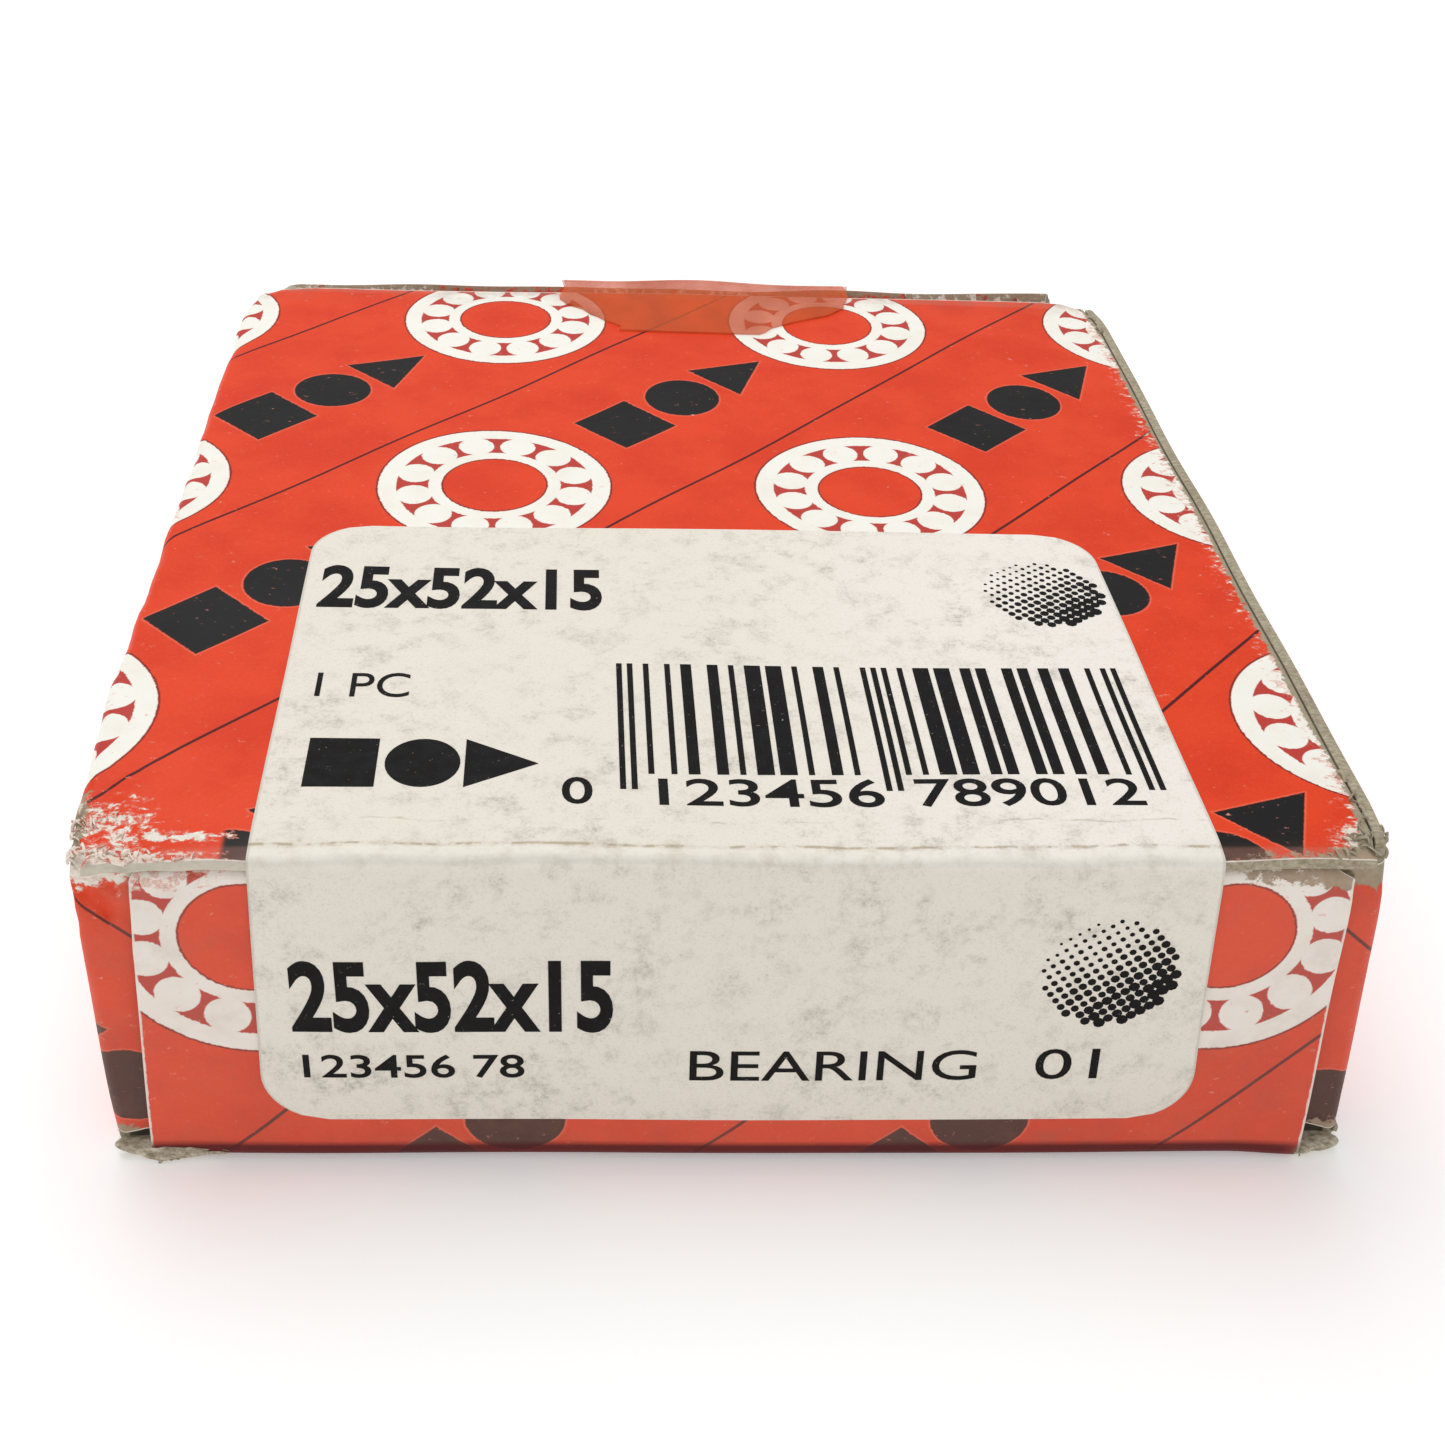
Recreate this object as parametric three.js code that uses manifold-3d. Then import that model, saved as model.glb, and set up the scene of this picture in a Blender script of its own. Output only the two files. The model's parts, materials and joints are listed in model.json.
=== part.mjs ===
// Angular contact ball bearing, 25 x 52 x 15 mm, in its tuck-end cardboard carton.
// Millimetres, +Z up. The origin is the middle of the carton's base, and the labelled end faces -Y.
// The carton is a glued sleeve with a tuck closure at each end. Each closure has a flap that swings
// down about the base's edge, a tongue that slides out from under the top, and two dust flaps.
// The bearing lies flat inside: outer ring, inner ring, window cage and thirteen balls.

import * as THREE from "three";
import { mergeVertices } from "three/addons/utils/BufferGeometryUtils.js";
import Module from "manifold-3d";

// Carton, outside sizes
const cartonWidth = 55; // X
const cartonDepth = 57; // Y, closure to closure
const cartonHeight = 17.6; // Z
const board = 0.5; // thickness of the folded board
const gap = 0.05; // air at a crease and between two layers

// Closures
const closureWidth = 52;
const tongueWidth = 49;
const tongueLength = 11;
const tongueCorner = 4;
const tongueDroop = THREE.MathUtils.degToRad(2.5); // the tucked tongue leans down into the carton
const dustLength = 13;
const dustRootTop = 17; // a dust flap is full height beside its crease, as far as dustShoulder
const dustShoulder = 2.2;
const dustRelief = 0.3; // lean of the cut between the two heights
const dustTop = 15; // past the shoulder it is cut lower, to pass under the tongue
const dustTipTop = 11.6;
const dustBottom = 1;
const dustTipBottom = 5.2;
const glueFlapHeight = 11;
const glueFlapInset = 3.5;

// Label and tape, which are stuck on over the carton's edges and slit there
const skin = 0.12; // thickness of label and tape
const skinGap = 0.02;
const labelWidth = 41;
const labelOffset = 0.4;
const labelOnTop = 26;
const labelOnFront = 14.7;
const labelCorner = 2.8;
const tapeWidth = 19;
const tapeOffset = 1.7;
const tapeOnTop = 7.8;
const tapeOnBack = 12;

// Bearing
const boreRadius = 12.5;
const outsideRadius = 26;
const bearingWidth = 15;
const ringCorner = 1;
const edgeBreak = 0.3;
const ballRadius = 3.97;
const ballCount = 13;
const pitchRadius = 19.3;
const grooveRadius = 4.05;
const outerShoulder = 21; // bore radius of the outer ring's high shoulder, at the top
const outerLip = 23.2; // low lip that holds the balls in, at the bottom
const outerFlare = 23.9;
const innerShoulder = 18.05; // radius of the inner ring's high shoulder, at the bottom
const innerLip = 15.45;
const cageBottom = 0.9;
const cageTop = 14.1;
const pocketRadius = 4.12;
const ringSegments = 60;
const pocketSegments = 28;

// Heights that follow
const topUnderside = cartonHeight - board;
const tongueTop = topUnderside - gap;
const tongueHinge = tongueTop - board;
const closureInside = cartonDepth / 2 - board; // distance of a closure flap's inner face
const dustOutside = closureInside - gap;
const dustInside = dustOutside - board;
const bearingBase = board + gap;

const wasm = await Module();
wasm.setup();

const materials = {
  print: new THREE.MeshStandardMaterial({ color: 0xe0442c, roughness: 0.55, metalness: 0 }),
  board: new THREE.MeshStandardMaterial({ color: 0xa89c86, roughness: 0.9, metalness: 0 }),
  label: new THREE.MeshStandardMaterial({ color: 0xe4e0d8, roughness: 0.75, metalness: 0 }),
  tape: new THREE.MeshStandardMaterial({ color: 0xb98a52, roughness: 0.25, metalness: 0 }),
  steel: new THREE.MeshStandardMaterial({ color: 0xb4b6b8, roughness: 0.25, metalness: 1 }),
  ball: new THREE.MeshStandardMaterial({ color: 0xc8cacc, roughness: 0.08, metalness: 1 }),
  cage: new THREE.MeshStandardMaterial({ color: 0x2b2a28, roughness: 0.6, metalness: 0 }),
};

function namedMesh(name, geometry, material) {
  const mesh = new THREE.Mesh(geometry, material);
  mesh.name = name;
  return mesh;
}

// A flat plate given by its lowest and highest corner
function plate(name, low, high, material) {
  const size = high.map((value, i) => value - low[i]);
  const mesh = namedMesh(name, new THREE.BoxGeometry(...size), material);
  mesh.position.set(...high.map((value, i) => (value + low[i]) / 2));
  return mesh;
}

// A rectangle in the shape plane, from y = 0 to y = length, with its two far corners rounded
function tabShape(width, length, corner) {
  const half = width / 2;
  const shape = new THREE.Shape();
  shape.moveTo(-half, 0);
  shape.lineTo(half, 0);
  shape.lineTo(half, length - corner);
  shape.absarc(half - corner, length - corner, corner, 0, Math.PI / 2);
  shape.lineTo(-half + corner, length);
  shape.absarc(-half + corner, length - corner, corner, Math.PI / 2, Math.PI);
  shape.closePath();
  return shape;
}

function sheet(shape, thickness) {
  return new THREE.ExtrudeGeometry(shape, { depth: thickness, bevelEnabled: false, curveSegments: 6 });
}

// ---- carton ----

// Base, sides and top. The top folds down inside the right side as the glue flap,
// so the right side's cut edge faces up beside the top.
function makeSleeve() {
  const sleeve = new THREE.Group();
  const halfWidth = cartonWidth / 2;
  const glueOutside = halfWidth - board - gap;
  const glueDepth = closureInside - glueFlapInset;
  sleeve.add(
    plate(
      "base_panel",
      [-halfWidth, -closureInside, 0],
      [halfWidth, closureInside, board],
      materials.print,
    ),
    plate(
      "left_panel",
      [-halfWidth, -dustInside, board + gap],
      [-halfWidth + board, dustInside, topUnderside - gap],
      materials.print,
    ),
    plate(
      "right_panel",
      [halfWidth - board, -dustInside, board + gap],
      [halfWidth, dustInside, cartonHeight],
      materials.print,
    ),
    plate(
      "top_panel",
      [-halfWidth, -cartonDepth / 2, topUnderside],
      [glueOutside, cartonDepth / 2, cartonHeight],
      materials.print,
    ),
    plate(
      "glue_flap",
      [glueOutside - board, -glueDepth, topUnderside - gap - glueFlapHeight],
      [glueOutside, glueDepth, topUnderside - gap],
      materials.board,
    ),
  );
  return sleeve;
}

// A dust flap in its own frame: the crease is the Z axis and the flap runs along +X
function dustFlapGeometry() {
  const shape = new THREE.Shape();
  shape.moveTo(gap, dustBottom);
  shape.lineTo(dustLength, dustTipBottom);
  shape.lineTo(dustLength, dustTipTop);
  shape.lineTo(dustShoulder + dustRelief, dustTop);
  shape.lineTo(dustShoulder, dustRootTop);
  shape.lineTo(gap, dustRootTop);
  shape.closePath();
  return sheet(shape, board).rotateX(Math.PI / 2);
}

// One end of the carton, drawn as the front end: it faces -Y
function makeClosure(names) {
  const end = new THREE.Group();
  const flapHalf = closureWidth / 2;
  end.add(
    plate(
      names.flap,
      [-flapHalf, -cartonDepth / 2, board + gap],
      [flapHalf, -closureInside - gap / 2, tongueHinge - gap / 2],
      materials.print,
    ),
  );

  const tongueFold = new THREE.Group();
  tongueFold.position.set(0, -closureInside, tongueHinge);
  tongueFold.rotation.x = -tongueDroop;
  const tongue = namedMesh(
    names.tongue,
    sheet(tabShape(tongueWidth, tongueLength, tongueCorner), board),
    materials.board,
  );
  tongue.position.y = gap;
  tongueFold.add(tongue);
  end.add(tongueFold);

  for (const side of [-1, 1]) {
    const crease = new THREE.Group();
    crease.position.set(side * (cartonWidth / 2 - board), -dustInside, 0);
    const flap = namedMesh(side < 0 ? names.dustLeft : names.dustRight, dustFlapGeometry(), materials.board);
    if (side > 0) {
      flap.rotation.z = Math.PI;
      flap.position.y = -board;
    }
    crease.add(flap);
    end.add(crease);
  }
  return end;
}

// ---- label and tape ----

function makeLabel() {
  const label = new THREE.Group();
  const onTop = namedMesh(
    "label_top",
    sheet(tabShape(labelWidth, labelOnTop, labelCorner), skin),
    materials.label,
  );
  onTop.position.set(labelOffset, -cartonDepth / 2, cartonHeight + skinGap);
  const onFront = namedMesh(
    "label_front",
    sheet(tabShape(labelWidth, labelOnFront, labelCorner), skin),
    materials.label,
  );
  onFront.rotation.x = -Math.PI / 2;
  onFront.position.set(labelOffset, -cartonDepth / 2 - skinGap - skin, cartonHeight);
  label.add(onTop, onFront);
  return label;
}

function makeTape() {
  const back = cartonDepth / 2;
  const low = tapeOffset - tapeWidth / 2;
  const high = tapeOffset + tapeWidth / 2;
  const tape = new THREE.Group();
  tape.add(
    plate(
      "tape_top",
      [low, back - tapeOnTop, cartonHeight + skinGap],
      [high, back, cartonHeight + skinGap + skin],
      materials.tape,
    ),
    plate(
      "tape_back",
      [low, back + skinGap, cartonHeight - tapeOnBack],
      [high, back + skinGap + skin, cartonHeight],
      materials.tape,
    ),
  );
  return tape;
}

// ---- bearing ----

// Points of an arc in the (radius, height) plane, from one angle to another, both in radians
function arc(centreRadius, centreHeight, radius, from, to, steps) {
  return Array.from({ length: steps + 1 }, (_, i) => {
    const angle = from + ((to - from) * i) / steps;
    return new THREE.Vector2(
      centreRadius + radius * Math.cos(angle),
      centreHeight + radius * Math.sin(angle),
    );
  });
}

// The angle on the ball groove where it reaches a given radius, above (1) or below (-1) the balls
function grooveAngle(radius, side) {
  const out = radius - pitchRadius;
  return Math.atan2(side * Math.sqrt(grooveRadius ** 2 - out ** 2), out);
}

// Turns a closed profile about the bearing's axis, with Z up
function turned(name, profile, material) {
  const mesh = namedMesh(name, new THREE.LatheGeometry([...profile, profile[0]], ringSegments), material);
  mesh.rotation.x = Math.PI / 2;
  return mesh;
}

function makeOuterRing() {
  const inset = outsideRadius - ringCorner;
  const high = bearingWidth - ringCorner;
  const centre = bearingWidth / 2;
  const profile = [
    new THREE.Vector2(outerFlare, 0),
    ...arc(inset, ringCorner, ringCorner, -Math.PI / 2, 0, 3),
    ...arc(inset, high, ringCorner, 0, Math.PI / 2, 3),
    new THREE.Vector2(outerShoulder + edgeBreak, bearingWidth),
    new THREE.Vector2(outerShoulder, bearingWidth - edgeBreak),
    ...arc(
      pitchRadius,
      centre,
      grooveRadius,
      grooveAngle(outerShoulder, 1),
      grooveAngle(outerLip, -1),
      7,
    ),
  ];
  return turned("outer_ring", profile, materials.steel);
}

function makeInnerRing() {
  const inset = boreRadius + ringCorner;
  const high = bearingWidth - ringCorner;
  const centre = bearingWidth / 2;
  const fullTurn = 2 * Math.PI;
  const profile = [
    ...arc(inset, ringCorner, ringCorner, Math.PI, 1.5 * Math.PI, 3),
    new THREE.Vector2(innerShoulder - edgeBreak, 0),
    new THREE.Vector2(innerShoulder, edgeBreak),
    ...arc(
      pitchRadius,
      centre,
      grooveRadius,
      grooveAngle(innerShoulder, -1) + fullTurn,
      grooveAngle(innerLip, 1),
      7,
    ),
    new THREE.Vector2(innerLip, bearingWidth - edgeBreak),
    new THREE.Vector2(innerLip - edgeBreak, bearingWidth),
    ...arc(inset, high, ringCorner, Math.PI / 2, Math.PI, 3),
  ];
  return turned("inner_ring", profile, materials.steel);
}

function toManifold(geometry) {
  const bare = geometry.index ? geometry.toNonIndexed() : geometry.clone();
  bare.deleteAttribute("normal");
  bare.deleteAttribute("uv");
  const merged = mergeVertices(bare, 1e-3);
  return new wasm.Manifold(
    new wasm.Mesh({
      numProp: 3,
      vertProperties: merged.attributes.position.array,
      triVerts: new Uint32Array(merged.index.array),
    }),
  );
}

function fromManifold(solid) {
  const { vertProperties, triVerts } = solid.getMesh();
  return new THREE.BufferGeometry()
    .setAttribute("position", new THREE.BufferAttribute(vertProperties, 3))
    .setIndex(new THREE.BufferAttribute(triVerts, 1));
}

function ballAngle(index) {
  return (2 * Math.PI * index) / ballCount;
}

// A leaning band with a round window for each ball
function makeCage() {
  const innerFoot = innerShoulder + 0.4;
  const outerFoot = outerLip - 0.9;
  const innerHead = innerLip + 0.85;
  const outerHead = outerShoulder - 0.6;
  const band = new THREE.LatheGeometry(
    [
      [innerFoot, cageBottom],
      [outerFoot, cageBottom],
      [outerFoot, cageBottom + 2.7],
      [outerHead, cageTop - 2.5],
      [outerHead, cageTop],
      [innerHead, cageTop],
      [innerHead, cageTop - 3],
      [innerFoot, cageBottom + 2.5],
      [innerFoot, cageBottom],
    ].map(([radius, height]) => new THREE.Vector2(radius, height)),
    ringSegments,
  ).rotateX(Math.PI / 2);
  let solid = toManifold(band);
  for (let i = 0; i < ballCount; i++) {
    const window = new THREE.CylinderGeometry(pocketRadius, pocketRadius, 12, pocketSegments)
      .rotateZ(Math.PI / 2)
      .translate(pitchRadius, 0, bearingWidth / 2)
      .rotateZ(ballAngle(i));
    solid = solid.subtract(toManifold(window));
  }
  return namedMesh("cage", fromManifold(solid), materials.cage);
}

function makeBearing() {
  const bearing = new THREE.Group();
  bearing.position.z = bearingBase;
  bearing.add(makeOuterRing(), makeInnerRing(), makeCage());
  for (let i = 0; i < ballCount; i++) {
    const name = `ball_${String(i + 1).padStart(2, "0")}`;
    const ball = namedMesh(name, new THREE.IcosahedronGeometry(ballRadius, 2), materials.ball);
    ball.position.set(
      pitchRadius * Math.cos(ballAngle(i)),
      pitchRadius * Math.sin(ballAngle(i)),
      bearingWidth / 2,
    );
    bearing.add(ball);
  }
  return bearing;
}

// ---- the boxed bearing ----

const boxedBearing = new THREE.Group();
const front = makeClosure({
  flap: "front_flap",
  tongue: "front_tongue",
  dustLeft: "front_dust_flap_left",
  dustRight: "front_dust_flap_right",
});
const back = makeClosure({
  flap: "back_flap",
  tongue: "back_tongue",
  dustLeft: "back_dust_flap_right",
  dustRight: "back_dust_flap_left",
});
back.rotation.z = Math.PI;
boxedBearing.add(makeSleeve(), front, back, makeLabel(), makeTape(), makeBearing());

export default boxedBearing;
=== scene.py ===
import json
import math
import random

import bmesh
import bpy
import numpy as np
from mathutils import Matrix, Vector


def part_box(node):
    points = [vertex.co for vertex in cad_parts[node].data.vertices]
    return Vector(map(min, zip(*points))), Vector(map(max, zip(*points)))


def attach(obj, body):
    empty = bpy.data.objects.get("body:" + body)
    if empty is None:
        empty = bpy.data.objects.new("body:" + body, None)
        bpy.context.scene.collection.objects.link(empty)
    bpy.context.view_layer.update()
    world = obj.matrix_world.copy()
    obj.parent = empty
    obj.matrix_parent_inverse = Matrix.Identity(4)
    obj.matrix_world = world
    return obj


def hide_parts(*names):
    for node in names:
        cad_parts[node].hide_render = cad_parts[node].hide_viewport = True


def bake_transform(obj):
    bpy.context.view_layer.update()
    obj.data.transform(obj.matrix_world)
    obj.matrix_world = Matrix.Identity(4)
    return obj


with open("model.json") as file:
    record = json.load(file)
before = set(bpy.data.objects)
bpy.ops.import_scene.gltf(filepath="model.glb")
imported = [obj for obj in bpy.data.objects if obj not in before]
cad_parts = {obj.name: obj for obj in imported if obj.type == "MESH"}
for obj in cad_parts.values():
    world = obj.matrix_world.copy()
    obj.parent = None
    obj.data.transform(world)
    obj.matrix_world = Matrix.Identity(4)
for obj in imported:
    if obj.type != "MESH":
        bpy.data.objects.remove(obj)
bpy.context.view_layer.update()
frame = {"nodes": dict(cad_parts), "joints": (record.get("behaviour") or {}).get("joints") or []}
mm = 0.001

# A boxed angular contact bearing: a worn tuck-end carton with its label and tape, and the bearing in it.
# Shapes are worked out in millimetres and turned into metres when a mesh is made.


def cadBox(node):
    low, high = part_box(node)
    return low / mm, high / mm


def hinge(name):
    joint = next(j for j in frame["joints"] if j["name"] == name)
    return Vector(joint["pos_m"]) / mm


topHigh = cadBox("top_panel")[1]
sideHigh = cadBox("left_panel")[1]
rightHigh = cadBox("right_panel")[1]
baseLow, baseHigh = cadBox("base_panel")
glueLow, glueHigh = cadBox("glue_flap")
flapHigh = cadBox("front_flap")[1]
tongueHigh = cadBox("front_tongue")[1]

carton = {
    "halfWidth": rightHigh.x,
    "halfDepth": topHigh.y,
    "height": topHigh.z,
    "board": baseHigh.z - baseLow.z,
    "foldRadius": 0.65,
    "backGap": 0.3,  # the top panel stops short of the back closure's fold
    "step": 0.9,  # mesh spacing over the flat of a panel
    "foldSteps": 6,
}
halfWidth, halfDepth, height = carton["halfWidth"], carton["halfDepth"], carton["height"]
board = carton["board"]


# ---- small tools for meshes ----

def smoothStep(value, low, high):
    t = np.clip((value - low) / (high - low), 0, 1)
    return t * t * (3 - 2 * t)


def bump(distance, reach):
    return np.exp(-((distance / reach) ** 2))


def ripple(points, wavelength, seed, waves=7):
    # smooth noise between about -1 and 1, a sum of plane waves with seeded directions
    rng = random.Random(seed)
    total = np.zeros(len(points))
    for _ in range(waves):
        direction = np.array([rng.gauss(0, 1) for _ in range(3)])
        direction *= 2 * math.pi / (wavelength * rng.uniform(0.6, 1.5) * np.linalg.norm(direction))
        total += np.sin(points @ direction + rng.uniform(0, 2 * math.pi))
    return total / math.sqrt(waves)


def easedSteps(count, ease=0.6):
    # 0 to 1, closer together at both ends
    even = np.linspace(0, 1, count + 1)
    return ease * (1 - np.cos(math.pi * even)) / 2 + (1 - ease) * even


# How the carton has aged. Lengths in millimetres.
ageing = {
    "sideBow": 0.1,
    "frontBow": 0.18,
    "topSag": 0.12,
    "ripple": 0.06,
    "rack": 0.95,  # the sleeve leans to one side, its closures half as much
    "flare": 0.58,  # and is wider at the foot, most of all at the front
    "crushDepth": 1.0,  # the front left corner of the top
    "crushReach": 4.2,
    "rightCornerDepth": 0.55,
    "rightCornerReach": 2.2,
    "footDepth": 0.35,  # bottom corners
    "footReach": 2.0,
    "foldLift": 0.18,  # the base curls up towards a closure
    "edgeDent": 0.12,
    "backSkew": 0.42,
}


# which corner (right, back, top), how deep it is knocked in, how far round it, and which way it goes
knockedCorners = (
    ((-1, -1, 1), ageing["crushDepth"], ageing["crushReach"], (0.12, 0.45, -0.75)),
    ((1, -1, 1), ageing["rightCornerDepth"], ageing["rightCornerReach"], (-0.3, 0.6, -0.45)),
    ((1, 1, 1), 0.5, 2.2, (-0.6, -0.4, -0.6)),
    ((-1, 1, 1), 0.6, 2.4, (0.6, -0.5, -0.6)),
    ((-1, -1, 0), ageing["footDepth"], ageing["footReach"], (0.1, 0.15, 0.1)),
    ((1, -1, 0), ageing["footDepth"], ageing["footReach"], (-0.1, -0.3, 0.1)),
    ((-1, 1, 0), 0.7, 2.0, (0.7, -0.6, 0.1)),
    ((1, 1, 0), 0.6, 2.0, (-0.7, -0.6, 0.1)),
)


def ageShape(points, rackShare=1.0):
    p = np.asarray(points, float)
    x, y, z = p[:, 0], p[:, 1], p[:, 2]
    move = np.zeros_like(p)
    upright = np.sin(np.clip(z / height, 0, 1) * math.pi)
    along = 1 - np.clip(y / halfDepth, -1, 1) ** 2
    across = 1 - np.clip(x / halfWidth, -1, 1) ** 2
    move[:, 0] += ageing["sideBow"] * np.sign(x) * smoothStep(abs(x), 22, halfWidth) * upright * along
    move[:, 1] += ageing["frontBow"] * np.sign(y) * smoothStep(abs(y), 23, halfDepth) * upright * across
    move[:, 2] -= ageing["topSag"] * smoothStep(z, 12, height) * across * along
    move[:, 2] += ageing["ripple"] * ripple(p, 17, 3) * smoothStep(z, 10, height)
    move[:, 0] += ageing["ripple"] * ripple(p, 14, 4) * smoothStep(abs(x), 22, halfWidth)
    move[:, 1] += ageing["ripple"] * ripple(p, 15, 5) * smoothStep(abs(y), 23, halfDepth)
    # the base curls up to each closure, except at its corners
    curl = smoothStep(abs(y), halfDepth - 3.2, halfDepth - 0.2) * smoothStep(-abs(x), -25.8, -22.5)
    move[:, 2] += ageing["foldLift"] * curl * smoothStep(-z, -2.5, 0)
    move[:, 0] += ageing["rack"] * (rackShare * (1 - z / height) - 0.5)
    foot = np.clip(1 - z / height, 0, 1) * (0.65 - 0.35 * np.clip(y / halfDepth, -1, 1))
    move[:, 0] += ageing["flare"] * x / halfWidth * foot
    move[:, 1] += ageing["backSkew"] * smoothStep(y, 10, halfDepth) * (0.5 + 0.5 * x / halfWidth)
    rough = ripple(p, 1.3, 11) * 0.5 + ripple(p, 3.2, 12) * 0.6
    fine = ripple(p, 0.9, 13) * 0.6
    for (sx, sy, top), depth, reach, direction in knockedCorners:
        corner = np.array([sx * halfWidth, sy * halfDepth, top * height])
        away = np.linalg.norm(p - corner, axis=1)
        push = depth * bump(away, reach)
        move += push[:, None] * np.array(direction)
        crumple = depth * 0.26 * bump(away, reach * 1.1) * (rough + fine * (depth > 0.9))
        move[:, 2] += crumple * (1 if top else 0.2)
        move[:, 1] += crumple * 0.6 * sy
    # small dents along the top's long edges
    leftEdge = bump(np.hypot(x + halfWidth, z - height), 0.9)
    frontEdge = bump(np.hypot(y + halfDepth, z - height), 0.8)
    dent = ageing["edgeDent"] * (0.5 + 0.5 * ripple(p, 4.5, 21))
    move[:, 0] += leftEdge * dent
    move[:, 2] -= (leftEdge + frontEdge) * dent
    moved = p + move
    moved[:, 2] = np.maximum(moved[:, 2], np.minimum(z, 0.0))
    return moved


# Where the wear sits: the middle and the reach of each spot, the line of the crack, and the steps
# over which the top, the front and its upper edge begin.
wornAt = {
    "crushed": ((-26.2, -26.6, 17.2), (2.8, 2.5, 1.9)),
    "rubbed": ((26.4, -27.4, 17.3), (1.9, 1.5, 1.4)),
    "bareCorner": ((27.2, -28.0, 17.0), 1.7),
    "foot": ((27.0, 28.2, 0.1), 1.6),
    "crack": (-22, -26.95),
    "crackSlope": 0.06,
    "crackFrom": (-24.6, -23.6),
    "crackTo": (20.0, 20.6),
    "onTop": (16.9, 17.3),
    "onFront": (27.7, 27.9),
    "frontEdge": (15.6, 16.5),
    "rightStrip": (25.4, 26.6),
    "rawEdge": (26.95, 27.3),
    "leftEdge": -27.7,
    "backEdge": (28.5, 16.8),
}


def roundSpot(p, where):
    middle, reach = where
    return bump(np.linalg.norm(p - np.array(middle), axis=1), reach)


def flatSpot(p, where):
    # even inside an egg shape, and gone soon outside it
    middle, reach = where
    away = np.sqrt((((p - middle) / reach) ** 2).sum(axis=1))
    return np.exp(-away ** 4)


def whiteAt(p, patch, top, upperFront):
    # torn white fibres
    x, y, z = p.T
    nearX, nearY, nearTop = halfWidth - abs(x), halfDepth - abs(y), height - z
    white = 0.3 * bump(np.hypot(nearX, nearTop), 0.45) * (0.2 + patch)
    white += 0.25 * bump(np.hypot(nearY, nearTop), 0.3) * (0.2 + patch)
    white += 0.22 * bump(np.hypot(nearX, nearY), 0.45) * patch
    white += (0.5 + 0.14 * ripple(p, 1.5, 36)) * flatSpot(p, wornAt["crushed"])
    crackX, crackY = wornAt["crack"]
    crack = y - crackY + wornAt["crackSlope"] * (x - crackX) + 0.05 * ripple(p, 2, 33)
    crackFrom, crackTo = smoothStep(x, *wornAt["crackFrom"]), smoothStep(-x, *wornAt["crackTo"])
    white += 0.85 * bump(crack, 0.13) * top * crackFrom * crackTo
    white += 0.5 * flatSpot(p, wornAt["rubbed"]) + 0.34 * smoothStep(x, *wornAt["rightStrip"]) * top
    return white + 0.4 * upperFront * smoothStep(-x, 20, 22) * smoothStep(-x, -26.5, -24)


def greyAt(p, patch, top, upperFront):
    # bare grey board
    x, y, z = p.T
    nearTop = height - z
    rawMiddle, rawOuter = wornAt["rawEdge"]
    grey = 0.9 * roundSpot(p, wornAt["bareCorner"])
    grey += 0.72 * upperFront * smoothStep(x, 20.4, 21.2) * (0.65 + 0.5 * patch)
    grey += 0.5 * bump(np.hypot(x - rawOuter, nearTop), 0.5)
    grey += 0.62 * bump(x - rawMiddle, 0.42) * top * (0.7 + 0.4 * patch)
    leftEdge = bump(np.hypot(x - wornAt["leftEdge"], nearTop + 0.2), 0.85)
    grey += 1.1 * leftEdge * smoothStep(-y, 22.5, 25)
    (footX, footY, footZ), reach = wornAt["foot"]
    for sx in (-1, 1):
        for sy in (-1, 1):
            grey += 1.2 * roundSpot(p, ((sx * footX, sy * footY, footZ), reach))
    backY, backZ = wornAt["backEdge"]
    return grey + 0.75 * bump(np.hypot(y - backY, z - backZ), 0.8)


def wearAt(points):
    # torn white fibres, bare grey board and dirt, each 0 to about 1
    p = np.asarray(points, float)
    y, z = p[:, 1], p[:, 2]
    patch = ripple(p, 5, 31) * 0.5 + 0.5
    top, front = smoothStep(z, *wornAt["onTop"]), smoothStep(-y, *wornAt["onFront"])
    upperFront = front * smoothStep(z, *wornAt["frontEdge"])
    dirt = 0.4 * bump(halfDepth - abs(y), 1.0) * top + 0.3 * bump(z, 1.4) + 0.3 * smoothStep(y, 25, 28) * top
    dirt += 0.25 * front * patch
    return np.stack([whiteAt(p, patch, top, upperFront), greyAt(p, patch, top, upperFront), dirt], axis=1)


def foldShadeAt(points):
    # painted shade: darkens the outside of a closure's lower fold, where its underside falls in shadow
    x, y, z = points[:, 0], points[:, 1], points[:, 2]
    band = smoothStep(-z, -1.2, -1.0) * smoothStep(abs(y), *wornAt["onFront"])
    return 0.92 * band * smoothStep(-abs(x), -26.6, -25.2)


def makeMesh(name, points, faces, materials, faceMaterials=None, smoothAngle=40):
    mesh = bpy.data.meshes.new(name)
    mesh.from_pydata([tuple(p) for p in np.asarray(points, float) * mm], [], faces)
    for material in materials:
        mesh.materials.append(material)
    if faceMaterials is not None:
        mesh.polygons.foreach_set("material_index", faceMaterials)
    mesh.shade_smooth()
    mesh.set_sharp_from_angle(angle=math.radians(smoothAngle))
    mesh.update()
    piece = bpy.data.objects.new(name, mesh)
    bpy.context.scene.collection.objects.link(piece)
    return piece


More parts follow.
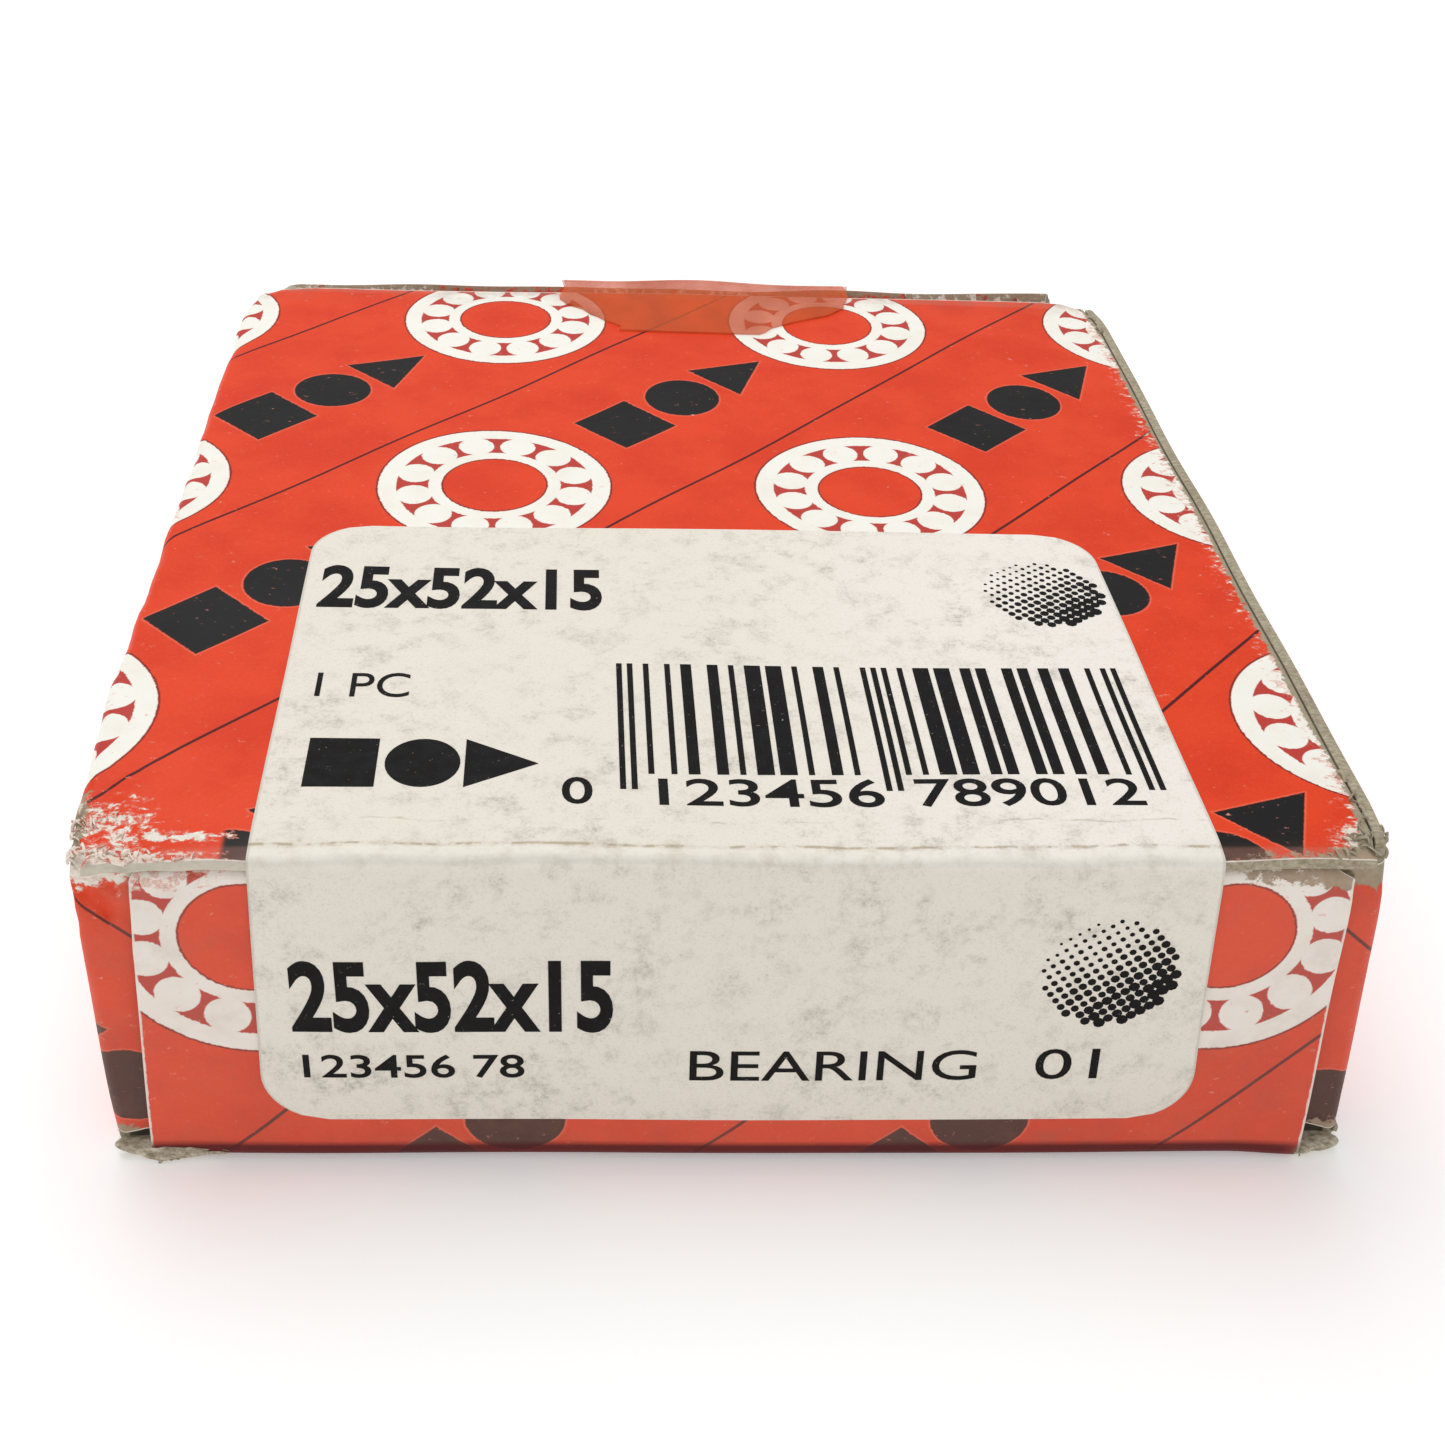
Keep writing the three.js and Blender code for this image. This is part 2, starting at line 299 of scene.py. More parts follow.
def sweepSheet(name, stations, place, steps, thickness, materials, bulge=0.04, rim=0.08, shape=None,
               print0=(0, 0)):
    # A closed sheet of even thickness.
    # A station is (point, normal, low, high, run): a point of the outer face in
    # the section plane, the way out, the two ends across, and the distance along the print.
    rows, cols = len(stations), len(steps)
    outer = np.zeros((rows, cols, 3))
    inner = np.zeros((rows, cols, 3))
    printed = np.zeros((rows, cols, 2))
    edgeAway = np.zeros((rows, cols))
    for i, (point, normal, low, high, run) in enumerate(stations):
        for j, t in enumerate(steps):
            c = low + (high - low) * t
            outer[i, j] = place(point[0], point[1], c)
            inner[i, j] = place(point[0] - normal[0] * thickness, point[1] - normal[1] * thickness, c)
            printed[i, j] = (run, c)
            edgeAway[i, j] = min(abs(c - low), abs(high - c))
    loop = [(0, j) for j in range(cols)] + [(i, cols - 1) for i in range(1, rows)]
    loop += [(rows - 1, j) for j in range(cols - 2, -1, -1)] + [(i, 0) for i in range(rows - 2, 0, -1)]
    middle = []
    for i, j in loop:
        within = outer[min(max(i, 1), rows - 2), min(max(j, 1), cols - 2)]
        outwards = outer[i, j] - within
        outwards /= max(np.linalg.norm(outwards), 1e-9)
        middle.append((outer[i, j] + inner[i, j]) / 2 + outwards * bulge)
    count = rows * cols
    points = np.concatenate([outer.reshape(-1, 3), inner.reshape(-1, 3), np.array(middle)])
    faces, kinds = [], []
    for i in range(rows - 1):
        for j in range(cols - 1):
            a, b, c, d = i * cols + j, i * cols + j + 1, (i + 1) * cols + j + 1, (i + 1) * cols + j
            faces.append((a, b, c, d))
            faces.append((a + count, d + count, c + count, b + count))
            kinds += [0, 1]
    for k, (i, j) in enumerate(loop):
        i2, j2 = loop[(k + 1) % len(loop)]
        a, b = i * cols + j, i2 * cols + j2
        m, n = 2 * count + k, 2 * count + (k + 1) % len(loop)
        faces.append((b, a, m, n))
        faces.append((n, m, a + count, b + count))
        kinds += [2, 2]
    first = Vector(outer[0, 0])
    turn = (Vector(outer[0, 1]) - first).cross(Vector(outer[1, 1]) - first)
    if turn.dot(first - Vector(inner[0, 0])) < 0:
        faces = [face[::-1] for face in faces]
    wear = wearAt(points)
    rimAway = np.concatenate([edgeAway.ravel(), edgeAway.ravel(), np.zeros(len(middle))]) / rim
    piece = makeMesh(name, (shape or ageShape)(points), faces, materials, kinds)
    mesh = piece.data
    uv = mesh.uv_layers.new(name="print")
    flat = np.concatenate([printed.reshape(-1, 2), printed.reshape(-1, 2),
                           np.array([printed[i, j] for i, j in loop])]) - np.array(print0)
    corner = np.zeros(len(mesh.loops), int)
    mesh.loops.foreach_get("vertex_index", corner)
    uv.data.foreach_set("uv", flat[corner].ravel())
    for layerName, values in (("foldShade", foldShadeAt(points)), ("rimAway", rimAway)):
        layer = mesh.attributes.new(layerName, "FLOAT", "POINT")
        layer.data.foreach_set("value", values)
    colour = mesh.color_attributes.new("wear", "FLOAT_COLOR", "POINT")
    colour.data.foreach_set("color", np.concatenate([wear, np.ones((len(wear), 1))], axis=1).ravel())
    return piece


def straight(start, end, normal, low, high, run, step=None, ease=0.6):
    # stations along a flat stretch; low and high may be functions of the distance from its start
    start, end = np.array(start, float), np.array(end, float)
    length = np.linalg.norm(end - start)
    count = max(3, math.ceil(length / (step or carton["step"])))
    made = []
    for t in easedSteps(count, ease):
        lowHere = low(t * length) if callable(low) else low
        highHere = high(t * length) if callable(high) else high
        made.append((start + (end - start) * t, normal, lowHere, highHere, run + t * length))
    return made


def bend(centre, radius, angle0, angle1, low, high, run, count=None):
    # stations round a fold; low and high are pairs, at its two ends
    count = count or carton["foldSteps"]
    made = []
    for k in range(count + 1):
        t = k / count
        angle = math.radians(angle0 + (angle1 - angle0) * t)
        normal = np.array([math.cos(angle), math.sin(angle)])
        lowHere, highHere = (pair[0] + (pair[1] - pair[0]) * t for pair in (low, high))
        way = radius * abs(math.radians(angle1 - angle0)) * t
        made.append((np.array(centre) + normal * radius, normal, lowHere, highHere, run + way))
    return made


def chain(*stretches):
    # joins stretches end to end, dropping the station that two of them share
    made = list(stretches[0])
    for stretch in stretches[1:]:
        made += stretch[1:]
    return made


def finishPiece(piece, body, slotName, *nodes):
    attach(piece, body)
    if nodes:
        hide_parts(*nodes)
    return piece


# ---- small tools for node trees ----

def feed(tree, value, socket):
    if isinstance(value, bpy.types.NodeSocket):
        tree.links.new(value, socket)
    else:
        socket.default_value = value


def addNode(tree, kind, inputs=None, **settings):
    node = tree.nodes.new(kind)
    for key, value in settings.items():
        setattr(node, key, value)
    for key, value in (inputs or {}).items():
        feed(tree, value, node.inputs[key])
    return node


def maths(tree, operation, *values):
    node = addNode(tree, "ShaderNodeMath", dict(enumerate(values)), operation=operation)
    return node.outputs[0]


def plus(tree, *values):
    return maths(tree, "ADD", *values)


def minus(tree, *values):
    return maths(tree, "SUBTRACT", *values)


def times(tree, *values):
    return maths(tree, "MULTIPLY", *values)


def unsigned(tree, value):
    return maths(tree, "ABSOLUTE", value)


def around(tree, value, wide):
    # noise swung about nothing, to shift a value by
    return times(tree, minus(tree, value, 0.5), wide)


def mixColour(tree, factor, first, second, blend="MIX"):
    node = addNode(tree, "ShaderNodeMix", {0: factor, 6: first, 7: second}, data_type="RGBA",
                   blend_type=blend)
    return node.outputs[2]


def noise(tree, vector, scale, detail=3, roughness=0.55):
    settings = {"Vector": vector, "Scale": scale, "Detail": detail, "Roughness": roughness}
    return addNode(tree, "ShaderNodeTexNoise", settings).outputs[0]


def ramp(tree, value, low, high, start=0.0, end=1.0):
    settings = {0: value, 1: low, 2: high, 3: start, 4: end}
    return addNode(tree, "ShaderNodeMapRange", settings, interpolation_type="SMOOTHSTEP").outputs[0]


def within(tree, value, limit, soft=0.035):
    return ramp(tree, value, limit - soft, limit + soft, 1.0, 0.0)


def objectMillimetres(tree):
    coordinate = addNode(tree, "ShaderNodeTexCoord").outputs["Object"]
    return addNode(tree, "ShaderNodeVectorMath", {0: coordinate, 3: 1 / mm}, operation="SCALE").outputs[0]


def stretched(tree, vector, scale, turn=(0, 0, 0)):
    inputs = {"Vector": vector, "Scale": scale, "Rotation": turn}
    return addNode(tree, "ShaderNodeMapping", inputs).outputs[0]


def bumpNormal(tree, heightValue, strength, distance):
    settings = {"Height": heightValue, "Strength": strength, "Distance": distance}
    return addNode(tree, "ShaderNodeBump", settings).outputs[0]


def rgb(red, green, blue):
    def linear(c):
        c /= 255
        return c / 12.92 if c <= 0.04045 else ((c + 0.055) / 1.055) ** 2.4
    return (linear(red), linear(green), linear(blue), 1.0)


def newMaterial(name):
    material = bpy.data.materials.new(name)
    material.use_nodes = True
    tree = material.node_tree
    return material, tree, tree.nodes["Principled BSDF"]


# ---- materials ----

inks = {
    "red": rgb(238, 66, 18),
    "redDeep": rgb(226, 56, 16),
    "gapRed": rgb(196, 62, 52),
    "white": rgb(255, 253, 243),
    "black": rgb(12, 8, 8),
    "line": rgb(84, 10, 12),
    "shade": rgb(84, 14, 20),
    # pale pink of the painted sheen over the closures' outside
    "paintedSheen": rgb(214, 150, 134),
    "pink": rgb(236, 150, 132),
    "halo": rgb(246, 120, 92),
    "fibre": rgb(240, 228, 212),
    "grey": rgb(196, 185, 160),
    "greyDark": rgb(142, 129, 104),
    "dirt": rgb(120, 98, 74),
}
printLayout = {
    "pitch": (20.3, 21.2),
    "ringOuter": 6.2,
    "ringInner": 2.85,
    "bandOuter": 5.24,
    "bandInner": 3.53,
    "ballCircle": 4.39,
    "ballRadius": 0.97,
    "balls": 12,
    "markHalf": 2.05,
    "markStep": 4.85,
    "markShift": (0.45, 0.35),
    "lineWidth": 0.17,
    "top": (-11.0, 23.85),  # a ring's centre on the sleeve's print, and on the closures'
    "closure": (-20.2, 13.4),
    "closureScale": (0.988, 0.965),
}


def fromNearest(tree, cell, pitch):
    # how far a place is from the nearest point of a pattern, in millimetres
    return times(tree, minus(tree, cell, maths(tree, "ROUND", cell)), pitch)


def bearingSymbols(tree, across, up):
    # rings on a square lattice: returns the white of the races and balls, the gaps in it, and its outline
    offsets = [fromNearest(tree, maths(tree, "DIVIDE", value, pitch), pitch)
               for value, pitch in zip((across, up), printLayout["pitch"])]
    radius = maths(tree, "SQRT", plus(tree, times(tree, offsets[0], offsets[0]),
                                      times(tree, offsets[1], offsets[1])))
    sector = 2 * math.pi / printLayout["balls"]
    angle = maths(tree, "FLOORED_MODULO", maths(tree, "ARCTAN2", offsets[1], offsets[0]), sector)
    angle = minus(tree, angle, sector / 2)
    circle = printLayout["ballCircle"]
    nearSquared = times(tree, times(tree, radius, -2 * circle), maths(tree, "COSINE", angle))
    nearSquared = plus(tree, nearSquared, plus(tree, times(tree, radius, radius), circle ** 2))
    ball = within(tree, maths(tree, "SQRT", maths(tree, "MAXIMUM", nearSquared, 0.0)),
                  printLayout["ballRadius"])
    ring = minus(tree, within(tree, radius, printLayout["ringOuter"]),
                 within(tree, radius, printLayout["ringInner"]))
    band = minus(tree, within(tree, radius, printLayout["bandOuter"]),
                 within(tree, radius, printLayout["bandInner"]))
    gap = times(tree, band, minus(tree, 1.0, ball))
    rimAway = unsigned(tree, minus(tree, radius, printLayout["ringOuter"] + 0.05))
    innerAway = unsigned(tree, minus(tree, radius, printLayout["ringInner"] - 0.05))
    outline = maths(tree, "MAXIMUM", within(tree, rimAway, 0.06, 0.03), within(tree, innerAway, 0.05, 0.03))
    outline = times(tree, outline, 0.75)
    return ring, gap, outline


def plainMarks(tree, across, up):
    # between the rings, a black square, disc and triangle in a row that climbs to the right
    half, step = printLayout["markHalf"], printLayout["markStep"]
    offsets = []
    for value, pitch, shift in zip((across, up), printLayout["pitch"], printLayout["markShift"]):
        cell = plus(tree, maths(tree, "DIVIDE", minus(tree, value, shift), pitch), 0.5)
        offsets.append(fromNearest(tree, cell, pitch))
    root = math.sqrt(0.5)
    along = times(tree, plus(tree, offsets[0], offsets[1]), root)
    aside = unsigned(tree, times(tree, minus(tree, offsets[1], offsets[0]), root))
    square = maths(tree, "MAXIMUM", unsigned(tree, plus(tree, along, step)), aside)
    square = minus(tree, square, half)
    disc = maths(tree, "SQRT", plus(tree, times(tree, along, along), times(tree, aside, aside)))
    disc = minus(tree, disc, half * 1.06)
    slope = minus(tree, times(tree, aside, 0.894),
                  times(tree, minus(tree, step + half + 0.1, along), 0.447))
    triangle = maths(tree, "MAXIMUM", minus(tree, step - half, along), slope)
    nearest = maths(tree, "MINIMUM", maths(tree, "MINIMUM", square, disc), triangle)
    mark = within(tree, nearest, 0.0)
    halo = times(tree, minus(tree, within(tree, nearest, 0.09, 0.05), mark), 0.6)
    return mark, halo


def stripLines(tree, across, up):
    # thin dark lines halfway between the rows of rings
    pitchAcross, pitchUp = printLayout["pitch"]
    cell = minus(tree, maths(tree, "DIVIDE", across, pitchAcross), maths(tree, "DIVIDE", up, pitchUp))
    away = unsigned(tree, minus(tree, maths(tree, "FRACT", cell), 0.5))
    return within(tree, times(tree, away, pitchUp * math.sqrt(0.5)), printLayout["lineWidth"] / 2, 0.02)


def makePrintedBoard():
    material, tree, shader = newMaterial("printedBoard")
    place = objectMillimetres(tree)
    uv = addNode(tree, "ShaderNodeUVMap", uv_map="print").outputs[0]
    split = addNode(tree, "ShaderNodeSeparateXYZ", {0: uv})
    fray = around(tree, noise(tree, place, 5.0, 2), 0.12)
    across = plus(tree, split.outputs[0], fray)
    up = plus(tree, split.outputs[1], fray)
    ring, gap, outline = bearingSymbols(tree, across, up)
    mark, halo = plainMarks(tree, across, up)
    part = addNode(tree, "ShaderNodeSeparateXYZ", {0: place})
    lost = times(tree, ramp(tree, part.outputs[0], -21.6, -21.3, 1.0, 0.0),
                 ramp(tree, part.outputs[1], -25.0, -24.5, 1.0, 0.0))
    kept = minus(tree, 1.0, times(tree, lost, ramp(tree, part.outputs[2], 17.0, 17.2)))
    mark, halo = times(tree, mark, kept), times(tree, halo, kept)
    line = stripLines(tree, across, up)
    cloud = noise(tree, place, 0.22, 4, 0.6)
    grain = noise(tree, place, 6.5, 3, 0.7)
    colour = mixColour(tree, ramp(tree, cloud, 0.35, 0.7), inks["red"], inks["redDeep"])
    colour = mixColour(tree, ramp(tree, grain, 0.45, 0.8, 0.0, 0.16), colour, inks["halo"])
    colour = mixColour(tree, halo, colour, inks["halo"])
    colour = mixColour(tree, line, colour, inks["line"])
    paperWhite = mixColour(tree, ramp(tree, noise(tree, place, 0.6, 4), 0.4, 0.75, 0.0, 0.3), inks["white"],
                           inks["fibre"])
    colour = mixColour(tree, outline, colour, inks["line"])
    colour = mixColour(tree, ring, colour, paperWhite)
    colour = mixColour(tree, gap, colour, inks["gapRed"])
    colour = mixColour(tree, mark, colour, inks["black"])
    # small pale scuffs, then fibres and bare board where the wear map asks for them
    wear = addNode(tree, "ShaderNodeVertexColor", layer_name="wear").outputs[0]
    wear = addNode(tree, "ShaderNodeSeparateColor", {0: wear})
    speck = noise(tree, stretched(tree, place, (1.0, 0.45, 1.0), (0, 0, 0.6)), 1.5, 5, 0.75)
    speck = ramp(tree, speck, 0.705, 0.74, 0.0, 0.75)
    tangle = noise(tree, stretched(tree, place, (1.0, 1.7, 1.4), (0.3, 0.2, 0.9)), 1.9, 7, 0.7)
    torn = plus(tree, wear.outputs[0], around(tree, tangle, 2.4))
    fibres = ramp(tree, torn, 0.5, 0.58)
    rubbed = ramp(tree, torn, 0.3, 0.52, 0.0, 0.8)
    bare = noise(tree, place, 2.4, 5, 0.7)
    bare = plus(tree, wear.outputs[1], around(tree, bare, 1.4))
    bare = ramp(tree, bare, 0.46, 0.6)
    colour = mixColour(tree, speck, colour, inks["halo"])
    colour = mixColour(tree, rubbed, colour, inks["pink"])
    fibreColour = mixColour(tree, ramp(tree, noise(tree, place, 3.4, 4), 0.35, 0.7), inks["fibre"],
                            inks["white"])
    colour = mixColour(tree, fibres, colour, fibreColour)
    bareColour = mixColour(tree, noise(tree, place, 3.0, 5, 0.7), inks["greyDark"], inks["grey"])
    colour = mixColour(tree, bare, colour, bareColour)
    rimAway = addNode(tree, "ShaderNodeAttribute", attribute_name="rimAway").outputs["Fac"]
    rimAway = plus(tree, rimAway, times(tree, noise(tree, place, 2.4, 4, 0.6), 1.2))
    colour = mixColour(tree, ramp(tree, rimAway, 1.15, 1.7, 0.85, 0.0), colour, inks["white"])
    soil = times(tree, wear.outputs[2], ramp(tree, noise(tree, place, 0.8, 5, 0.65), 0.35, 0.7))
    colour = mixColour(tree, times(tree, soil, 0.6), colour, inks["dirt"])
    # painted sheen: the outside of both closures is mixed a little towards a pale pink, which dulls their
    # red
    fromMiddle = unsigned(tree, addNode(tree, "ShaderNodeSeparateXYZ", {0: place}).outputs[1])
    paintedSheen = ramp(tree, fromMiddle, halfDepth - 1.0, halfDepth - 0.7, 0.0, 0.17)
    colour = mixColour(tree, paintedSheen, colour, inks["paintedSheen"])
    # painted shade on the outside of each closure's lower fold
    foldShade = addNode(tree, "ShaderNodeAttribute", attribute_name="foldShade").outputs["Fac"]
    colour = mixColour(tree, foldShade, colour, inks["shade"])
    tree.links.new(colour, shader.inputs["Base Color"])
    worn = maths(tree, "MAXIMUM", fibres, bare)
    rough = plus(tree, ramp(tree, cloud, 0.3, 0.7, 0.42, 0.52), times(tree, worn, 0.4))
    tree.links.new(rough, shader.inputs["Roughness"])
    relief = plus(tree, times(tree, noise(tree, place, 1.1, 5, 0.6), 0.6), times(tree, grain, 0.12))
    relief = plus(tree, relief, times(tree, times(tree, worn, tangle), -1.6))
    tree.links.new(bumpNormal(tree, relief, 0.35, 0.12 * mm), shader.inputs["Normal"])
    shader.inputs["Specular IOR Level"].default_value = 0.2
    return material


def makePlainBoard(name, light, dark, scale):
    material, tree, shader = newMaterial(name)
    place = objectMillimetres(tree)
    fibre = noise(tree, stretched(tree, place, (1, 2.4, 1.7), (0.4, 0.3, 0.8)), scale, 6, 0.72)
    cloud = noise(tree, place, 0.5, 4)
    colour = mixColour(tree, ramp(tree, fibre, 0.3, 0.72), dark, light)
    colour = mixColour(tree, ramp(tree, cloud, 0.45, 0.8, 0.0, 0.4), colour, inks["dirt"])
    split = addNode(tree, "ShaderNodeSeparateXYZ", {0: place})
    pale = times(tree, ramp(tree, split.outputs[2], 15.5, 16.6, 0.0, 0.75),
                 ramp(tree, split.outputs[0], -20.5, -18.5, 1.0, 0.0))
    colour = mixColour(tree, pale, colour, rgb(228, 220, 204))
    tree.links.new(colour, shader.inputs["Base Color"])
    tree.links.new(ramp(tree, fibre, 0.2, 0.8, 0.95, 0.8), shader.inputs["Roughness"])
    tree.links.new(bumpNormal(tree, fibre, 0.5, 0.1 * mm), shader.inputs["Normal"])
    shader.inputs["Specular IOR Level"].default_value = 0.2
    return material


def makeLabelPaper():
    material, tree, shader = newMaterial("labelPaper")
    place = objectMillimetres(tree)
    split = addNode(tree, "ShaderNodeSeparateXYZ", {0: place})
    clean, grey, brown = rgb(243, 236, 223), rgb(168, 161, 148), rgb(186, 168, 138)
    mottle = noise(tree, place, 0.75, 8, 0.74)
    smudge = noise(tree, stretched(tree, place, (1, 0.7, 1), (0, 0, 0.5)), 0.16, 5, 0.62)
    speckle = noise(tree, place, 4.5, 4, 0.75)
    amount = times(tree, ramp(tree, mottle, 0.46, 0.72), ramp(tree, smudge, 0.3, 0.66, 0.25, 1.0))
    amount = times(tree, amount, ramp(tree, speckle, 0.35, 0.65, 0.35, 1.0))
    onTop = ramp(tree, split.outputs[2], height - 0.5, height - 0.1)
    lighter = times(tree, ramp(tree, split.outputs[0], -4.0, 16.0, 0.0, 0.8), onTop)
    colour = mixColour(tree, lighter, clean, rgb(253, 247, 239))
    colour = mixColour(tree, times(tree, amount, 0.9), colour, grey)
    grain = ramp(tree, noise(tree, place, 9.0, 3, 0.7), 0.5, 0.72, 0.0, 0.3)
    colour = mixColour(tree, grain, colour, rgb(190, 180, 162))
    # brown dirt caught at the fold, a crease a little way behind it, and a painted highlight on the ridge
    # along the fold
    fromFold = plus(tree, split.outputs[1], halfDepth)
    fold = ramp(tree, fromFold, 0.1, 1.3, 1.0, 0.0)
    fold = times(tree, times(tree, fold, onTop), ramp(tree, mottle, 0.4, 0.7, 0.0, 0.6))
    colour = mixColour(tree, fold, colour, brown)
    waver = times(tree, noise(tree, place, 0.35, 3), 1.3)
    crease = unsigned(tree, minus(tree, minus(tree, fromFold, 1.7), waver))
    crease = times(tree, within(tree, crease, 0.05, 0.05), onTop)
    crease = times(tree, crease, ramp(tree, noise(tree, place, 0.7, 3), 0.45, 0.6, 0.0, 0.5))
    crack = minus(tree, minus(tree, fromFold, 0.55), times(tree, waver, 0.3))
    crack = times(tree, within(tree, unsigned(tree, crack), 0.07, 0.06), onTop)
    crack = times(tree, crack, ramp(tree, noise(tree, place, 1.6, 4), 0.42, 0.6, 0.1, 0.85))
    crease = maths(tree, "MAXIMUM", crease, crack)
    ridge = times(tree, ramp(tree, fromFold, 0.5, 0.62, 1.0, 0.0), onTop)
    # painted highlight: the ridge along the fold is lightened
    colour = mixColour(tree, times(tree, ridge, 0.55), colour, rgb(250, 246, 234))
    colour = mixColour(tree, crease, colour, brown)
    rimAway = addNode(tree, "ShaderNodeAttribute", attribute_name="rimAway").outputs["Fac"]
    rimAway = plus(tree, rimAway, times(tree, mottle, 3.0))
    colour = mixColour(tree, ramp(tree, rimAway, 2.0, 2.9, 0.35, 0.0), colour, grey)
    tree.links.new(colour, shader.inputs["Base Color"])
    tree.links.new(ramp(tree, mottle, 0.3, 0.7, 0.62, 0.78), shader.inputs["Roughness"])
    relief = plus(tree, times(tree, mottle, 0.7), times(tree, crease, -1.2))
    relief = plus(tree, relief, ridge)
    tree.links.new(bumpNormal(tree, relief, 0.3, 0.1 * mm), shader.inputs["Normal"])
    shader.inputs["Specular IOR Level"].default_value = 0.35
    return material


def makeLabelInk():
    material, tree, shader = newMaterial("labelInk")
    place = objectMillimetres(tree)
    missed = ramp(tree, noise(tree, place, 5.5, 4, 0.75), 0.66, 0.72, 0.0, 0.8)
    cloud = noise(tree, place, 1.3, 4)
    colour = mixColour(tree, ramp(tree, cloud, 0.3, 0.7), rgb(4, 2, 2), rgb(13, 9, 8))
    tree.links.new(mixColour(tree, missed, colour, rgb(196, 190, 182)), shader.inputs["Base Color"])
    tree.links.new(ramp(tree, cloud, 0.3, 0.7, 0.6, 0.75), shader.inputs["Roughness"])
    shader.inputs["Specular IOR Level"].default_value = 0.2
    return material


def makeOldTape():
    material, tree, shader = newMaterial("oldTape")
    place = objectMillimetres(tree)
    cloud = noise(tree, stretched(tree, place, (1, 0.6, 1)), 0.32, 5, 0.6)
    streak = noise(tree, stretched(tree, place, (0.25, 3.2, 3.2)), 1.1, 4)
    colour = mixColour(tree, ramp(tree, cloud, 0.3, 0.72), rgb(246, 106, 6), rgb(214, 84, 4))
    colour = mixColour(tree, ramp(tree, streak, 0.4, 0.8, 0.0, 0.5), colour, rgb(198, 88, 8))
    tree.links.new(colour, shader.inputs["Base Color"])
    tree.links.new(ramp(tree, cloud, 0.3, 0.75, 0.28, 0.46), shader.inputs["Roughness"])
    tree.links.new(ramp(tree, cloud, 0.25, 0.8, 0.34, 0.5), shader.inputs["Alpha"])
    relief = plus(tree, cloud, times(tree, streak, 0.4))
    tree.links.new(bumpNormal(tree, relief, 0.3, 0.1 * mm), shader.inputs["Normal"])
    return material


def makeRingSteel():
    material, tree, shader = newMaterial("ringSteel")
    place = objectMillimetres(tree)
    split = addNode(tree, "ShaderNodeSeparateXYZ", {0: place})
    flat = addNode(tree, "ShaderNodeCombineXYZ", {0: split.outputs[0], 1: split.outputs[1]}).outputs[0]
    radius = addNode(tree, "ShaderNodeVectorMath", {0: flat}, operation="LENGTH").outputs["Value"]
    turned = addNode(tree, "ShaderNodeCombineXYZ", {0: radius, 1: split.outputs[2]}).outputs[0]
    grind = noise(tree, turned, 9.0, 4, 0.7)
    cloud = noise(tree, place, 0.4, 4)
    colour = mixColour(tree, grind, (0.52, 0.53, 0.54, 1), (0.7, 0.7, 0.69, 1))
    colour = mixColour(tree, ramp(tree, cloud, 0.5, 0.8, 0.0, 0.3), colour, (0.5, 0.46, 0.38, 1))
    tree.links.new(colour, shader.inputs["Base Color"])
    shader.inputs["Metallic"].default_value = 1.0
    tree.links.new(ramp(tree, grind, 0.2, 0.8, 0.2, 0.36), shader.inputs["Roughness"])
    tree.links.new(bumpNormal(tree, grind, 0.12, 0.02 * mm), shader.inputs["Normal"])
    return material


def makeBallSteel():
    material, tree, shader = newMaterial("ballSteel")
    place = objectMillimetres(tree)
    haze = noise(tree, place, 0.7, 5, 0.6)
    colour = mixColour(tree, haze, (0.72, 0.73, 0.74, 1), (0.8, 0.8, 0.79, 1))
    tree.links.new(colour, shader.inputs["Base Color"])
    shader.inputs["Metallic"].default_value = 1.0
    tree.links.new(ramp(tree, haze, 0.3, 0.75, 0.05, 0.13), shader.inputs["Roughness"])
    return material


def makeCagePlastic():
    material, tree, shader = newMaterial("cagePlastic")
    place = objectMillimetres(tree)
    glass = noise(tree, stretched(tree, place, (1, 1, 3)), 7.0, 4, 0.7)
    cloud = noise(tree, place, 0.5, 3)
    colour = mixColour(tree, ramp(tree, cloud, 0.3, 0.7), rgb(30, 29, 27), rgb(44, 42, 38))
    colour = mixColour(tree, ramp(tree, glass, 0.6, 0.8, 0.0, 0.25), colour, rgb(84, 80, 72))
    tree.links.new(colour, shader.inputs["Base Color"])
    tree.links.new(ramp(tree, glass, 0.3, 0.7, 0.42, 0.6), shader.inputs["Roughness"])
    tree.links.new(bumpNormal(tree, glass, 0.2, 0.03 * mm), shader.inputs["Normal"])
    return material


printedBoard = makePrintedBoard()
plainBoard = makePlainBoard("plainBoard", rgb(196, 188, 172), rgb(150, 141, 124), 2.0)
cutEdge = makePlainBoard("cutEdge", rgb(204, 194, 170), rgb(150, 138, 114), 3.2)
boardSides = (printedBoard, plainBoard, cutEdge)
labelPaper, labelInk, oldTape = makeLabelPaper(), makeLabelInk(), makeOldTape()
ringSteel, ballSteel, cagePlastic = makeRingSteel(), makeBallSteel(), makeCagePlastic()
print("materials made")


# ---- camera, light and floor ----

view = {
    "lens": 47.59,
    "place": (-7.94, -87.87, 67.43),  # millimetres from the middle of the carton's base
    "yaw": 4.37,
    "pitch": 34.53,
    "roll": 3.0,
    "shift": (0.03, -0.03),
}


